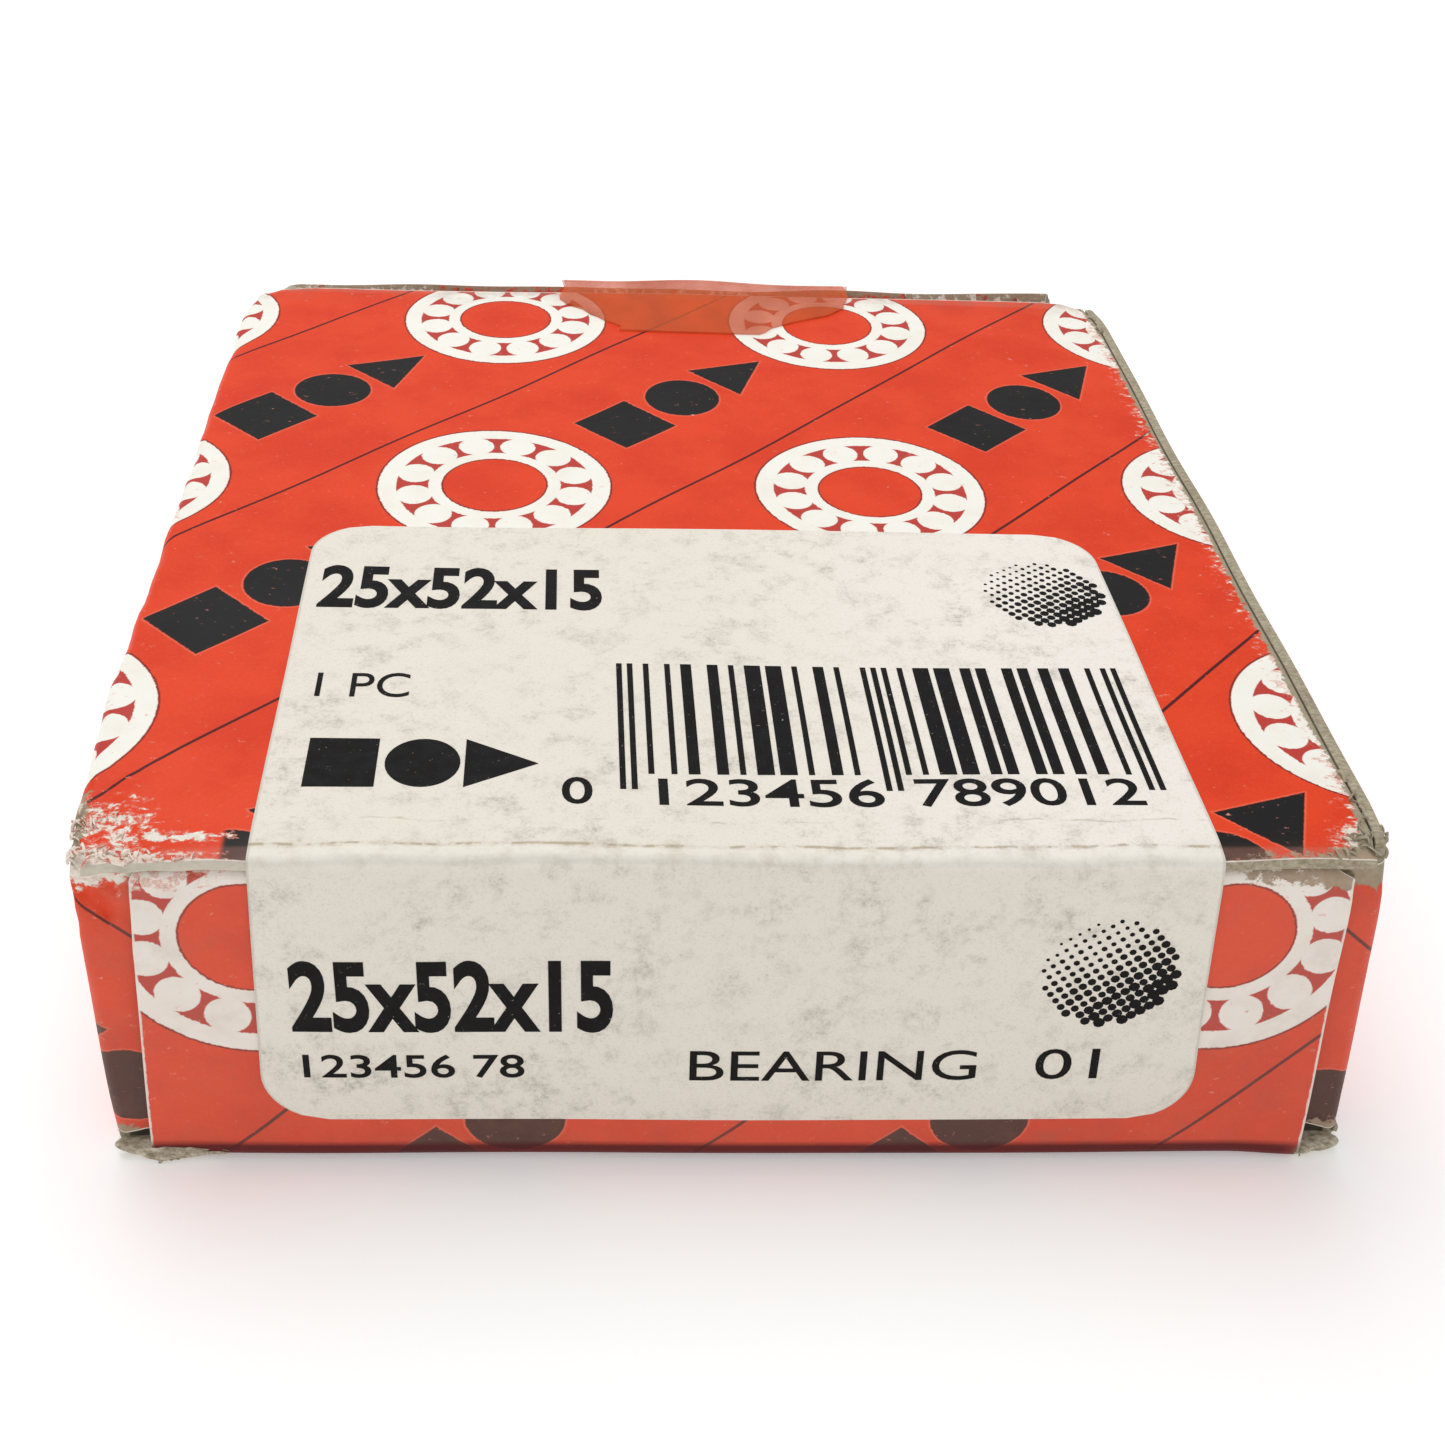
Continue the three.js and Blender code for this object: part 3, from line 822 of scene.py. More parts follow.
def makeCamera():
    yaw, pitch, roll = (math.radians(view[k]) for k in ("yaw", "pitch", "roll"))
    ahead = Vector((math.sin(yaw) * math.cos(pitch), math.cos(yaw) * math.cos(pitch), -math.sin(pitch)))
    level = Vector((math.cos(yaw), -math.sin(yaw), 0))
    over = level.cross(ahead)
    right = level * math.cos(roll) + over * math.sin(roll)
    up = over * math.cos(roll) - level * math.sin(roll)
    data = bpy.data.cameras.new("camera")
    data.lens = view["lens"]
    data.shift_x, data.shift_y = view["shift"]
    data.clip_start = 0.005
    camera = bpy.data.objects.new("camera", data)
    turn = Matrix((right, up, -ahead)).transposed().to_4x4()
    camera.matrix_world = Matrix.Translation(Vector(view["place"]) * mm) @ turn
    bpy.context.scene.collection.objects.link(camera)
    bpy.context.scene.camera = camera


studio = {
    "world": 0.5,
    "floorGlow": 0.26,
    "lamps": (
        # name, place in millimetres, size, watts
        ("overhead", (-60, 120, 330), 320, 0.64),
        ("frontFill", (60, -330, 150), 260, 0.05),
        ("leftSide", (-320, -60, 160), 220, 0.06),
    ),
}


def makeStudio():
    scene = bpy.context.scene
    scene.world = bpy.data.worlds.new("studio")
    scene.world.use_nodes = True
    background = scene.world.node_tree.nodes["Background"]
    background.inputs["Color"].default_value = (1, 1, 1, 1)
    background.inputs["Strength"].default_value = studio["world"]
    for name, place, size, watts in studio["lamps"]:
        data = bpy.data.lights.new(name, "AREA")
        data.shape = "DISK"
        data.size = size * mm
        data.energy = watts
        lamp = bpy.data.objects.new(name, data)
        lamp.location = Vector(place) * mm
        lamp.rotation_mode = "QUATERNION"
        lamp.rotation_quaternion = (Vector((0, 0, height / 2)) * mm - lamp.location).to_track_quat("-Z", "Y")
        scene.collection.objects.link(lamp)
    scene.view_settings.view_transform = "Standard"
    floorMaterial, _, shader = newMaterial("floor")
    shader.inputs["Base Color"].default_value = (0.93, 0.93, 0.93, 1)
    shader.inputs["Roughness"].default_value = 0.9
    shader.inputs["Emission Color"].default_value = (1, 1, 1, 1)
    shader.inputs["Emission Strength"].default_value = studio["floorGlow"]
    half = 8000
    floor = makeMesh("floor", [(-half, -half, 0), (half, -half, 0), (half, half, 0), (-half, half, 0)],
                     [(0, 1, 2, 3)], [floorMaterial])


makeCamera()
makeStudio()
print("camera and studio set")


# ---- the sleeve ----

def sectionXZ(a, b, c):
    return (a, c, b)


def makeSleeve():
    # one folded sheet, from the right side's top edge under the base, up the left side, over the top
    # and down inside the right side as the glue flap
    r = carton["foldRadius"]
    side, base, top, topBack = sideHigh.y, baseHigh.y, topHigh.y, topHigh.y - carton["backGap"]
    glueOut, glueEnd, glueHalf = glueHigh.x, glueLow.z, glueHigh.y
    innerFold = 0.14
    stretches, run = [], 0.0

    def add(stretch):
        nonlocal run
        stretches.append(stretch)
        run = stretch[-1][4]

    add(straight((halfWidth, height), (halfWidth, r), (1, 0), -side, side, run))
    add(bend((halfWidth - r, r), r, 0, -90, (-side, -base), (side, base), run))
    add(straight((halfWidth - r, 0), (-halfWidth + r, 0), (0, -1), -base, base, run))
    add(bend((-halfWidth + r, r), r, -90, -180, (-base, -side), (base, side), run))
    add(straight((-halfWidth, r), (-halfWidth, height - r), (-1, 0), -side, side, run))
    add(bend((-halfWidth + r, height - r), r, 180, 90, (-side, -top), (side, topBack), run))
    topStart = run - (-halfWidth + r)
    add(straight((-halfWidth + r, height), (glueOut - innerFold, height), (0, 1), -top, topBack, run))
    add(bend((glueOut - innerFold, height - innerFold), innerFold, 90, 0, (-top, -glueHalf),
             (topBack, glueHalf), run))
    add(straight((glueOut, height - innerFold), (glueOut, glueEnd), (1, 0), -glueHalf, glueHalf, run))
    origin = (topStart + printLayout["top"][0], printLayout["top"][1])
    sleeve = sweepSheet("sleeveBoard", chain(*stretches), sectionXZ, easedSteps(72), board, boardSides,
                        print0=origin, rim=0.1)
    finishPiece(sleeve, "carton", "printed_board", "base_panel", "left_panel", "right_panel", "top_panel",
                "glue_flap")
    return topStart


sleeveStart = makeSleeve()
print("sleeve folded")


# ---- closures ----

closure = {
    "halfWidth": flapHigh.x,
    "tongueHalf": tongueHigh.x,
    "tongueLength": 11.0,
    "tongueCorner": 4.0,
    "tongueDroop": 2.5,
    "dustLength": 13.0,
    "dustBottom": 1.0,
    "dustTipBottom": 5.2,
    "dustRootTop": 16.95,
    "dustShoulder": 2.2,
    "dustTop": 15.0,
    "dustTipTop": 11.6,
    "creaseRadius": 0.5,
    "creaseBoard": 0.44,  # board squeezed in the crease
    "shift": 0.7,
    "foldSwell": {"front": 0.0, "back": 0.85},
    "foldRise": {"front": 0.0, "back": 0.8},
    "footKick": {"front": 0.45, "back": 0.0},
}


def swellFold(end):
    # the back closure's upper fold stands proud, the front one's foot is kicked out, more at the right
    def shape(points):
        p = ageShape(points, 0.5)
        x, y, z = np.asarray(points).T
        kick = (1 - smoothStep(z, 1, 12)) * (0.55 + 0.45 * x / halfWidth) * smoothStep(abs(y), 27, 28)
        p[:, 1] += np.sign(y) * closure["footKick"][end] * kick
        fold = smoothStep(z, 13.5, 16.9) * smoothStep(abs(y), 26.8, 28)
        p[:, 1] += np.sign(y) * closure["foldSwell"][end] * fold * (1 + 0.25 * ripple(points, 9, 41))
        outerHalf = fold * smoothStep(abs(y), 27.95, 28.3)
        p[:, 2] += closure["foldRise"][end] * outerHalf * (0.8 + 0.3 * ripple(points, 12, 42))
        return p
    return shape


def flapReach(z, way):
    # the closure's two ends across, a little narrower at the top
    half = closure["halfWidth"] + 0.1 - 0.6 * max(0.0, min(1.0, z / 16))
    shift = closure["shift"] * way
    return shift - half, shift + closure["halfWidth"] - 0.8


def tongueReach(distance):
    # half width of the tongue at a distance from its crease
    corner = closure["tongueCorner"]
    left = closure["tongueLength"] - distance
    if left >= corner:
        return closure["tongueHalf"]
    return closure["tongueHalf"] - corner + math.sqrt(max(corner ** 2 - (corner - left) ** 2, 0))


def dustHeights(distance):
    t = distance / closure["dustLength"]
    low = closure["dustBottom"] + (closure["dustTipBottom"] - closure["dustBottom"]) * t
    if distance <= closure["dustShoulder"]:
        return low, closure["dustRootTop"]
    t = (distance - closure["dustShoulder"]) / (closure["dustLength"] - closure["dustShoulder"])
    return low, closure["dustTop"] + (closure["dustTipTop"] - closure["dustTop"]) * t


def makeClosure(end, way):
    # way is 1 at the front; the back is the same end turned half round
    def section(a, b, c):
        return (way * c, way * a, b)

    bodyFlap, bodyTongue = f"{end}_closure", f"{end}_tuck"
    low, high = hinge(f"{end}_flap_hinge"), hinge(f"{end}_tongue_fold")
    flapCrease, tongueCrease = (-abs(low.y), low.z), (-abs(high.y), high.z)
    r = closure["creaseRadius"]
    origin = printLayout["closure"]
    acrossSteps = easedSteps(64)
    shape = swellFold(end)
    footLow, footHigh = flapReach(0, 1)
    foldLow, foldHigh = flapReach(tongueCrease[1], 1)
    flap = straight((flapCrease[0] - r, flapCrease[1]), (tongueCrease[0] - r, tongueCrease[1]), (-1, 0),
                    lambda d: flapReach(d, 1)[0], lambda d: flapReach(d, 1)[1], flapCrease[1], 0.7)
    piece = sweepSheet(f"{end}FlapBoard", flap, section, acrossSteps, board, boardSides, bulge=0.05,
                       rim=0.12, shape=shape)
    turnPrint(piece, origin)
    finishPiece(piece, bodyFlap, "printed_board", f"{end}_flap")

    crease = bend(flapCrease, r, -90, -180, (footLow + 0.3, footLow), (footHigh - 0.3, footHigh),
                  flapCrease[1] - r * math.pi / 2)
    piece = sweepSheet(f"{end}FlapCrease", crease, section, acrossSteps, closure["creaseBoard"], boardSides,
                       bulge=0.0, rim=0.07, shape=shape)
    turnPrint(piece, origin)
    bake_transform(piece)

    tongueHalf, droop = closure["tongueHalf"], math.radians(closure["tongueDroop"])
    fold = bend(tongueCrease, r, 180, 90 - closure["tongueDroop"], (foldLow, -tongueHalf),
                (foldHigh, tongueHalf), tongueCrease[1])
    piece = sweepSheet(f"{end}TongueCrease", fold, section, acrossSteps, closure["creaseBoard"], boardSides,
                       bulge=0.0, rim=0.07, shape=shape)
    turnPrint(piece, origin)
    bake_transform(piece)

    normal = np.array([math.sin(droop), math.cos(droop)])
    along = np.array([math.cos(droop), -math.sin(droop)])
    root = np.array(tongueCrease) + normal * r
    tongue = straight(root, root + along * closure["tongueLength"], normal, lambda d: -tongueReach(d),
                      tongueReach, fold[-1][4], 0.35, 0.3)
    piece = sweepSheet(f"{end}TongueBoard", tongue, section, acrossSteps, board, boardSides, rim=0.08,
                       shape=shape)
    turnPrint(piece, origin)
    finishPiece(piece, bodyTongue, "plain_board", f"{end}_tongue")


def turnPrint(piece, origin):
    # the print's own directions on a closure: across the flap first, then up it
    layer = piece.data.uv_layers["print"].data
    flat = np.zeros(len(layer) * 2)
    layer.foreach_get("uv", flat)
    flat = (flat.reshape(-1, 2)[:, ::-1] - np.array(origin)) * np.array(printLayout["closureScale"])
    layer.foreach_set("uv", flat.ravel())


def makeDustFlap(end, side):
    # hinged on a side panel, behind the closure; printed outside like the side that it belongs to
    across = -1 if side == "left" else 1
    away = -1 if end == "front" else 1
    pivot = hinge(f"{end}_dust_{side}_fold")
    body = f"{end}_dust_{side}"
    r = closure["creaseRadius"]
    lowRoot, highRoot = dustHeights(0)
    fromAngle = 180 if across < 0 else 0
    toAngle = (270 if across < 0 else -90) if away < 0 else 90

    def section(a, b, c):
        return (a, b, c)

    # the side's print runs down from the top's edge; the flap carries it on
    sideRun = sleeveStart - halfWidth - height if across < 0 else height
    origin = (sleeveStart + printLayout["top"][0], printLayout["top"][1])

    def sidePrint(piece):
        layer = piece.data.uv_layers["print"].data
        flat = np.zeros(len(layer) * 2)
        layer.foreach_get("uv", flat)
        flat = flat.reshape(-1, 2)
        runs = sideRun - across * flat[:, 1]
        flat = np.stack([runs - origin[0], away * flat[:, 0] - origin[1]], axis=1)
        layer.foreach_set("uv", flat.ravel())

    crease = bend((pivot.x, pivot.y), r, fromAngle, toAngle, (lowRoot, lowRoot), (highRoot, highRoot),
                  abs(pivot.y))
    steps = easedSteps(22)
    piece = sweepSheet(f"{end}Dust{side.title()}Crease", crease, section, steps, closure["creaseBoard"],
                       boardSides, bulge=0.0, rim=0.07)
    sidePrint(piece)
    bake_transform(piece)

    face = pivot.y + away * r
    shoulder = closure["dustShoulder"]
    run = crease[-1][4]
    normal = np.array([0, away])
    stretch = straight((pivot.x, face), (pivot.x - across * shoulder, face), normal,
                       lambda d: dustHeights(d)[0], lambda d: dustHeights(d)[1], run, 0.5)
    rest = straight((pivot.x - across * (shoulder + 0.3), face),
                    (pivot.x - across * closure["dustLength"], face), normal,
                    lambda d: dustHeights(d + shoulder + 0.3)[0],
                    lambda d: dustHeights(d + shoulder + 0.3)[1], run + shoulder + 0.3, 0.7)
    piece = sweepSheet(f"{end}Dust{side.title()}Board", stretch + rest, section, steps, board, boardSides,
                       rim=0.08)
    sidePrint(piece)
    finishPiece(piece, body, "plain_board", f"{end}_dust_flap_{side}")


for end, way in (("front", 1), ("back", -1)):
    makeClosure(end, way)
    for side in ("left", "right"):
        makeDustFlap(end, side)
print("closures folded")


# ---- label and tape ----

labelTopLow, labelTopHigh = cadBox("label_top")
labelFrontLow = cadBox("label_front")[0]
label = {
    "corner": 2.8,
    "thickness": labelTopHigh.z - labelTopLow.z,
    "foldRadius": 0.42,
    "inset": (0.2, 0.85),
    "longer": 0.45,
    "widen": 0.03,
    "inkHeight": 0.03,
}


def sectionYZ(a, b, c):
    return (c, a, b)


def labelReach(distance, length, low, high):
    # the two ends across, at a distance from the fold, with the far corners rounded
    corner = label["corner"]
    left = length - distance
    cut = 0 if left >= corner else corner - math.sqrt(max(corner ** 2 - (corner - left) ** 2, 0))
    return low + cut, high - cut


def makeLabel():
    r, thickness = label["foldRadius"], label["thickness"]
    low, high = labelTopLow.x + label["inset"][0], labelTopHigh.x - label["inset"][1]
    topZ, frontY = labelTopHigh.z, labelFrontLow.y
    centre = (frontY + r, topZ - r)
    papers = (labelPaper, labelPaper, labelPaper)
    steps = easedSteps(60, 0.35)
    topEnd = labelTopHigh.y + label["longer"]
    topLength = topEnd - centre[0]
    flat = straight((centre[0], topZ), (topEnd, topZ), (0, 1),
                    lambda d: labelReach(d, topLength, low, high)[0],
                    lambda d: labelReach(d, topLength, low, high)[1], r, 0.45, 0.45)
    fold = bend(centre, r, 135, 90, (low, low), (high, high), 0, 4)
    piece = sweepSheet("labelTopPaper", chain(fold, flat), sectionYZ, steps, thickness, papers, bulge=0.0,
                       rim=0.1)
    finishPiece(piece, "carton", "label_paper", "label_top")
    frontLength = centre[1] - labelFrontLow.z
    widen = label["widen"]
    flat = straight((frontY, centre[1]), (frontY, labelFrontLow.z), (-1, 0),
                    lambda d: labelReach(d, frontLength, low, high)[0] - widen * d,
                    lambda d: labelReach(d, frontLength, low, high)[1] + widen * d, r, 0.45, 0.45)
    fold = bend(centre, r, 135, 180, (low, low), (high, high), 0, 4)
    piece = sweepSheet("labelFrontPaper", chain(fold, flat), sectionYZ, steps, thickness, papers, bulge=0.0,
                       rim=0.1, shape=swellFold("front"))
    finishPiece(piece, "front_closure", "label_paper", "label_front")


makeLabel()


# ---- geometry node trees ----

def startTree(name, sockets):
    tree = bpy.data.node_groups.new(name, "GeometryNodeTree")
    tree.interface.new_socket("Geometry", in_out="INPUT", socket_type="NodeSocketGeometry")
    tree.interface.new_socket("Geometry", in_out="OUTPUT", socket_type="NodeSocketGeometry")
    for label, kind, value in sockets:
        socket = tree.interface.new_socket(label, in_out="INPUT", socket_type=kind)
        socket.default_value = value
    return tree, tree.nodes.new("NodeGroupInput").outputs


def endTree(tree, geometry, material):
    solid = addNode(tree, "GeometryNodeRealizeInstances", {"Geometry": geometry}).outputs[0]
    coated = addNode(tree, "GeometryNodeSetMaterial", {"Geometry": solid, "Material": material}).outputs[0]
    tree.links.new(coated, tree.nodes.new("NodeGroupOutput").inputs[0])


def bakeTree(name, tree, values, start=None):
    # runs a tree on a mesh and gives back a plain mesh
    holder = bpy.data.objects.new(name, start or bpy.data.meshes.new(name + "Start"))
    bpy.context.scene.collection.objects.link(holder)
    run = holder.modifiers.new("build", "NODES")
    run.node_group = tree
    sockets = [s for s in tree.interface.items_tree if s.item_type == "SOCKET" and s.in_out == "INPUT"]
    ids = {s.name: s.identifier for s in sockets}
    for label, value in values.items():
        run[ids[label]] = value
    holder.update_tag()
    evaluated = holder.evaluated_get(bpy.context.evaluated_depsgraph_get())
    mesh = bpy.data.meshes.new_from_object(evaluated)
    mesh.name = name
    bpy.data.objects.remove(holder)
    return mesh


def linkMesh(mesh):
    piece = bpy.data.objects.new(mesh.name, mesh)
    bpy.context.scene.collection.objects.link(piece)
    return piece


def movePoints(mesh, shape):
    flat = np.zeros(len(mesh.vertices) * 3)
    mesh.vertices.foreach_get("co", flat)
    mesh.vertices.foreach_set("co", (shape(flat.reshape(-1, 3)) * mm).ravel())
    mesh.update()


# ---- ink on the label ----

def onTop(points):
    # across, up the label and out of it, in millimetres, to the carton's own place
    u, v, lift = points[:, 0], points[:, 1], points[:, 2]
    return ageShape(np.stack([u, v, labelTopHigh.z + lift], axis=1))


def onFront(points):
    u, v, lift = points[:, 0], points[:, 1], points[:, 2]
    return swellFold("front")(np.stack([u, labelFrontLow.y - lift, v], axis=1))


def addInk(mesh, shape, body):
    movePoints(mesh, shape)
    piece = linkMesh(mesh)
    finishPiece(piece, body, "black_ink")


def inkWords(name, words, box, shape, body, bold=0.0, gap=1.0):
    # words stretched to fill a box (left, low, right, high) of the label
    curve = bpy.data.curves.new(name, "FONT")
    curve.body = words
    curve.offset, curve.space_character = bold, gap
    curve.extrude, curve.resolution_u = 0.5, 5
    holder = bpy.data.objects.new(name, curve)
    bpy.context.scene.collection.objects.link(holder)
    mesh = bpy.data.meshes.new_from_object(holder.evaluated_get(bpy.context.evaluated_depsgraph_get()))
    bpy.data.objects.remove(holder)
    mesh.name = name
    tidyMesh(mesh)
    flat = np.zeros(len(mesh.vertices) * 3)
    mesh.vertices.foreach_get("co", flat)
    p = flat.reshape(-1, 3)
    low, high = p.min(axis=0), p.max(axis=0)
    p[:, 0] = box[0] + (p[:, 0] - low[0]) * (box[2] - box[0]) / (high[0] - low[0])
    p[:, 1] = box[1] + (p[:, 1] - low[1]) * (box[3] - box[1]) / (high[1] - low[1])
    p[:, 2] *= label["inkHeight"]
    mesh.vertices.foreach_set("co", p.ravel())
    mesh.materials.clear()
    mesh.materials.append(labelInk)
    addInk(mesh, shape, body)


def tidyMesh(mesh):
    form = bmesh.new()
    form.from_mesh(mesh)
    bmesh.ops.remove_doubles(form, verts=form.verts, dist=1e-5)
    bmesh.ops.recalc_face_normals(form, faces=form.faces)
    form.to_mesh(mesh)
    form.free()


def inkShape(name, outline, shape, body):
    # a flat shape with thin sides, from its outline in label millimetres
    count, lift = len(outline), label["inkHeight"] / 2
    points = [(u, v, -lift) for u, v in outline] + [(u, v, lift) for u, v in outline]
    faces = [tuple(range(count))[::-1], tuple(range(count, 2 * count))]
    faces += [(i, (i + 1) % count, count + (i + 1) % count, count + i) for i in range(count)]
    mesh = bpy.data.meshes.new(name)
    mesh.from_pydata(points, [], faces)
    mesh.materials.append(labelInk)
    tidyMesh(mesh)
    addInk(mesh, shape, body)


def barTree():
    # a row of modules: in every four one is inked, one is left out and two are drawn by chance,
    # with longer guard bars at both ends and in the middle
    tree, given = startTree("barPattern", (
        ("Modules", "NodeSocketInt", 95), ("Module Width", "NodeSocketFloat", 0.24),
        ("Bar Length", "NodeSocketFloat", 8.3), ("Guard Length", "NodeSocketFloat", 9.4),
        ("Ink Height", "NodeSocketFloat", 0.03), ("Share Inked", "NodeSocketFloat", 0.5),
        ("Seed", "NodeSocketInt", 1)))
    step = addNode(tree, "ShaderNodeCombineXYZ", {0: given["Module Width"]}).outputs[0]
    row = addNode(tree, "GeometryNodeMeshLine", {"Count": given["Modules"], "Offset": step}).outputs[0]
    index = addNode(tree, "GeometryNodeInputIndex").outputs[0]
    last = minus(tree, given["Modules"], 1.0)
    fromMiddle = unsigned(tree, minus(tree, index, times(tree, last, 0.5)))
    atMiddle = maths(tree, "LESS_THAN", fromMiddle, 2.6)
    atEnds = maths(tree, "GREATER_THAN", fromMiddle, minus(tree, times(tree, last, 0.5), 2.5))
    guard = maths(tree, "MAXIMUM", atMiddle, atEnds)
    even = maths(tree, "LESS_THAN", maths(tree, "FLOORED_MODULO", index, 2.0), 0.5)
    chance = addNode(tree, "FunctionNodeRandomValue", {"Seed": given["Seed"]}, data_type="FLOAT").outputs[1]
    inked = maths(tree, "LESS_THAN", chance, given["Share Inked"])
    phase = maths(tree, "FLOORED_MODULO", index, 4.0)
    isBar = maths(tree, "LESS_THAN", unsigned(tree, minus(tree, phase, 1.0)), 0.5)
    isSpace = maths(tree, "GREATER_THAN", phase, 2.5)
    inked = times(tree, maths(tree, "MAXIMUM", inked, isBar), minus(tree, 1.0, isSpace))
    guardInked = times(tree, guard, even)
    plainInked = times(tree, minus(tree, 1.0, guard), inked)
    chosen = maths(tree, "GREATER_THAN", plus(tree, guardInked, plainInked), 0.5)
    extra = times(tree, guard, minus(tree, given["Guard Length"], given["Bar Length"]))
    length = plus(tree, given["Bar Length"], extra)
    width = times(tree, given["Module Width"], 1.05)
    size = addNode(tree, "ShaderNodeCombineXYZ", {0: width, 1: length, 2: given["Ink Height"]}).outputs[0]
    block = addNode(tree, "GeometryNodeMeshCube", {"Size": (1, 1, 1), "Vertices X": 2, "Vertices Y": 14,
                                                   "Vertices Z": 2}).outputs[0]
    block = addNode(tree, "GeometryNodeTransform", {"Geometry": block,
                                                    "Translation": (0, -0.5, 0)}).outputs[0]
    bars = addNode(tree, "GeometryNodeInstanceOnPoints",
                   {"Points": row, "Selection": chosen, "Instance": block, "Scale": size}).outputs[0]
    endTree(tree, bars, labelInk)
    return tree


def dotTree():
    # a disc of dots on a slanted grid, growing from small to nearly touching
    tree, given = startTree("dottedDisc", (
        ("Radius", "NodeSocketFloat", 3.0), ("Spacing", "NodeSocketFloat", 0.42),
        ("Smallest", "NodeSocketFloat", 0.08), ("Largest", "NodeSocketFloat", 0.27),
        ("Ink Height", "NodeSocketFloat", 0.03), ("Seed", "NodeSocketInt", 3)))
    side = times(tree, given["Radius"], 3.0)
    count = maths(tree, "DIVIDE", side, given["Spacing"])
    grid = addNode(tree, "GeometryNodeMeshGrid", {"Size X": side, "Size Y": side, "Vertices X": count,
                                                  "Vertices Y": count}).outputs[0]
    grid = addNode(tree, "GeometryNodeTransform", {"Geometry": grid, "Rotation": (0, 0, 0.62)}).outputs[0]
    place = addNode(tree, "GeometryNodeInputPosition").outputs[0]
    away = addNode(tree, "ShaderNodeVectorMath", {0: place}, operation="LENGTH").outputs["Value"]
    inside = maths(tree, "LESS_THAN", away, given["Radius"])
    slope = addNode(tree, "ShaderNodeVectorMath", {0: place, 1: (0.62, -0.78, 0)},
                    operation="DOT_PRODUCT").outputs["Value"]
    shade = addNode(tree, "ShaderNodeMapRange", {0: maths(tree, "DIVIDE", slope, given["Radius"]), 1: -0.9,
                                                 2: 0.9, 3: given["Smallest"],
                                                 4: given["Largest"]}).outputs[0]
    jitter = addNode(tree, "FunctionNodeRandomValue", {"Min": 0.82, "Max": 1.15, "Seed": given["Seed"]},
                     data_type="FLOAT")
    dotRadius = times(tree, shade, jitter.outputs[1])
    size = addNode(tree, "ShaderNodeCombineXYZ", {0: dotRadius, 1: dotRadius,
                                                  2: given["Ink Height"]}).outputs[0]
    dot = addNode(tree, "GeometryNodeMeshCylinder", {"Vertices": 8, "Radius": 1.0,
                                                     "Depth": 1.0}).outputs["Mesh"]
    dots = addNode(tree, "GeometryNodeInstanceOnPoints",
                   {"Points": grid, "Selection": inside, "Instance": dot, "Scale": size}).outputs[0]
    endTree(tree, dots, labelInk)
    return tree


def placed(shape, u, v):
    return lambda points: shape(points + np.array([u, v, 0.0]))


labelPrint = {
    # boxes are (left, low, right, high) on the top or the front of the carton
    "topSize": ("25x52x15", (-19.1, -10.0, -5.4, -6.1), 0.03),
    "topCount": ("1 PC", (-18.4, -17.3, -14.2, -15.4), 0.0),
    "topDigitLead": ("0", (-7.3, -25.1, -6.0, -23.2), 0.01),
    "topDigitsLeft": ("123456", (-3.2, -25.1, 6.4, -23.2), 0.01),
    "topDigitsRight": ("789012", (7.8, -25.1, 17.6, -23.2), 0.01),
    "frontSize": ("25x52x15", (-18.7, 8.2, -5.2, 12.3), 0.03),
    "frontSerial": ("123456 78", (-18.4, 5.5, -9.0, 6.9), 0.01),
    "frontWord": ("BEARING", (-1.9, 5.4, 10.6, 7.2), 0.0),
    "frontIssue": ("01", (13.2, 5.4, 16.0, 7.2), 0.0),
    "mark": (-18.2, -24.0, 3.5, 9.9),  # left, low, height and length of the plain mark
    "bars": (-4.7, -14.6, 0.2475),  # left, high and module width
    "discs": ((16.6, -8.0), (15.9, 11.6)),
    "discRadius": 3.0,
}


def printLabel():
    for key in ("topSize", "topCount", "topDigitLead", "topDigitsLeft", "topDigitsRight"):
        words, box, bold = labelPrint[key]
        inkWords(key, words, box, onTop, "carton", bold)
    for key in ("frontSize", "frontSerial", "frontWord", "frontIssue"):
        words, box, bold = labelPrint[key]
        inkWords(key, words, box, onFront, "front_closure", bold)
    left, low, tall, long = labelPrint["mark"]
    square = [(left, low), (left + tall * 0.86, low), (left + tall * 0.86, low + tall), (left, low + tall)]
    inkShape("markSquare", square, onTop, "carton")
    middle = (left + long / 2, low + tall / 2)
    disc = [(middle[0] + tall * 0.46 * math.cos(a), middle[1] + tall / 2 * math.sin(a))
            for a in np.linspace(0, 2 * math.pi, 40, endpoint=False)]
    inkShape("markDisc", disc, onTop, "carton")
    right = left + long
    inkShape("markTriangle", [(right - tall * 0.9, low), (right, low + tall / 2),
                              (right - tall * 0.9, low + tall)], onTop, "carton")
    left, high, module = labelPrint["bars"]
    bars = bakeTree("barPattern", barTree(), {"Module Width": module, "Seed": 11,
                                              "Ink Height": label["inkHeight"]})
    addInk(bars, placed(onTop, left, high), "carton")
    dots, radius = dotTree(), labelPrint["discRadius"]
    for k, (shape, body) in enumerate(((onTop, "carton"), (onFront, "front_closure"))):
        mesh = bakeTree(f"dottedDisc{k + 1}", dots, {"Radius": radius, "Seed": 3 + k,
                                                     "Ink Height": label["inkHeight"]})
        addInk(mesh, placed(shape, *labelPrint["discs"][k]), body)


printLabel()
print("label printed")


def tapeShape(points):
    p = ageShape(points)
    y = np.asarray(points)[:, 1]
    swell = closure["foldSwell"]["back"] * (1 + 0.25 * ripple(points, 9, 41))
    p[:, 1] += swell * smoothStep(y, 27.0, 28.1) * smoothStep(np.asarray(points)[:, 2], 13.5, 16.9)
    p[:, 2] += 0.3 * smoothStep(y, 27.4, 28.2) * smoothStep(np.asarray(points)[:, 2], 15.5, 17.2)
    return p


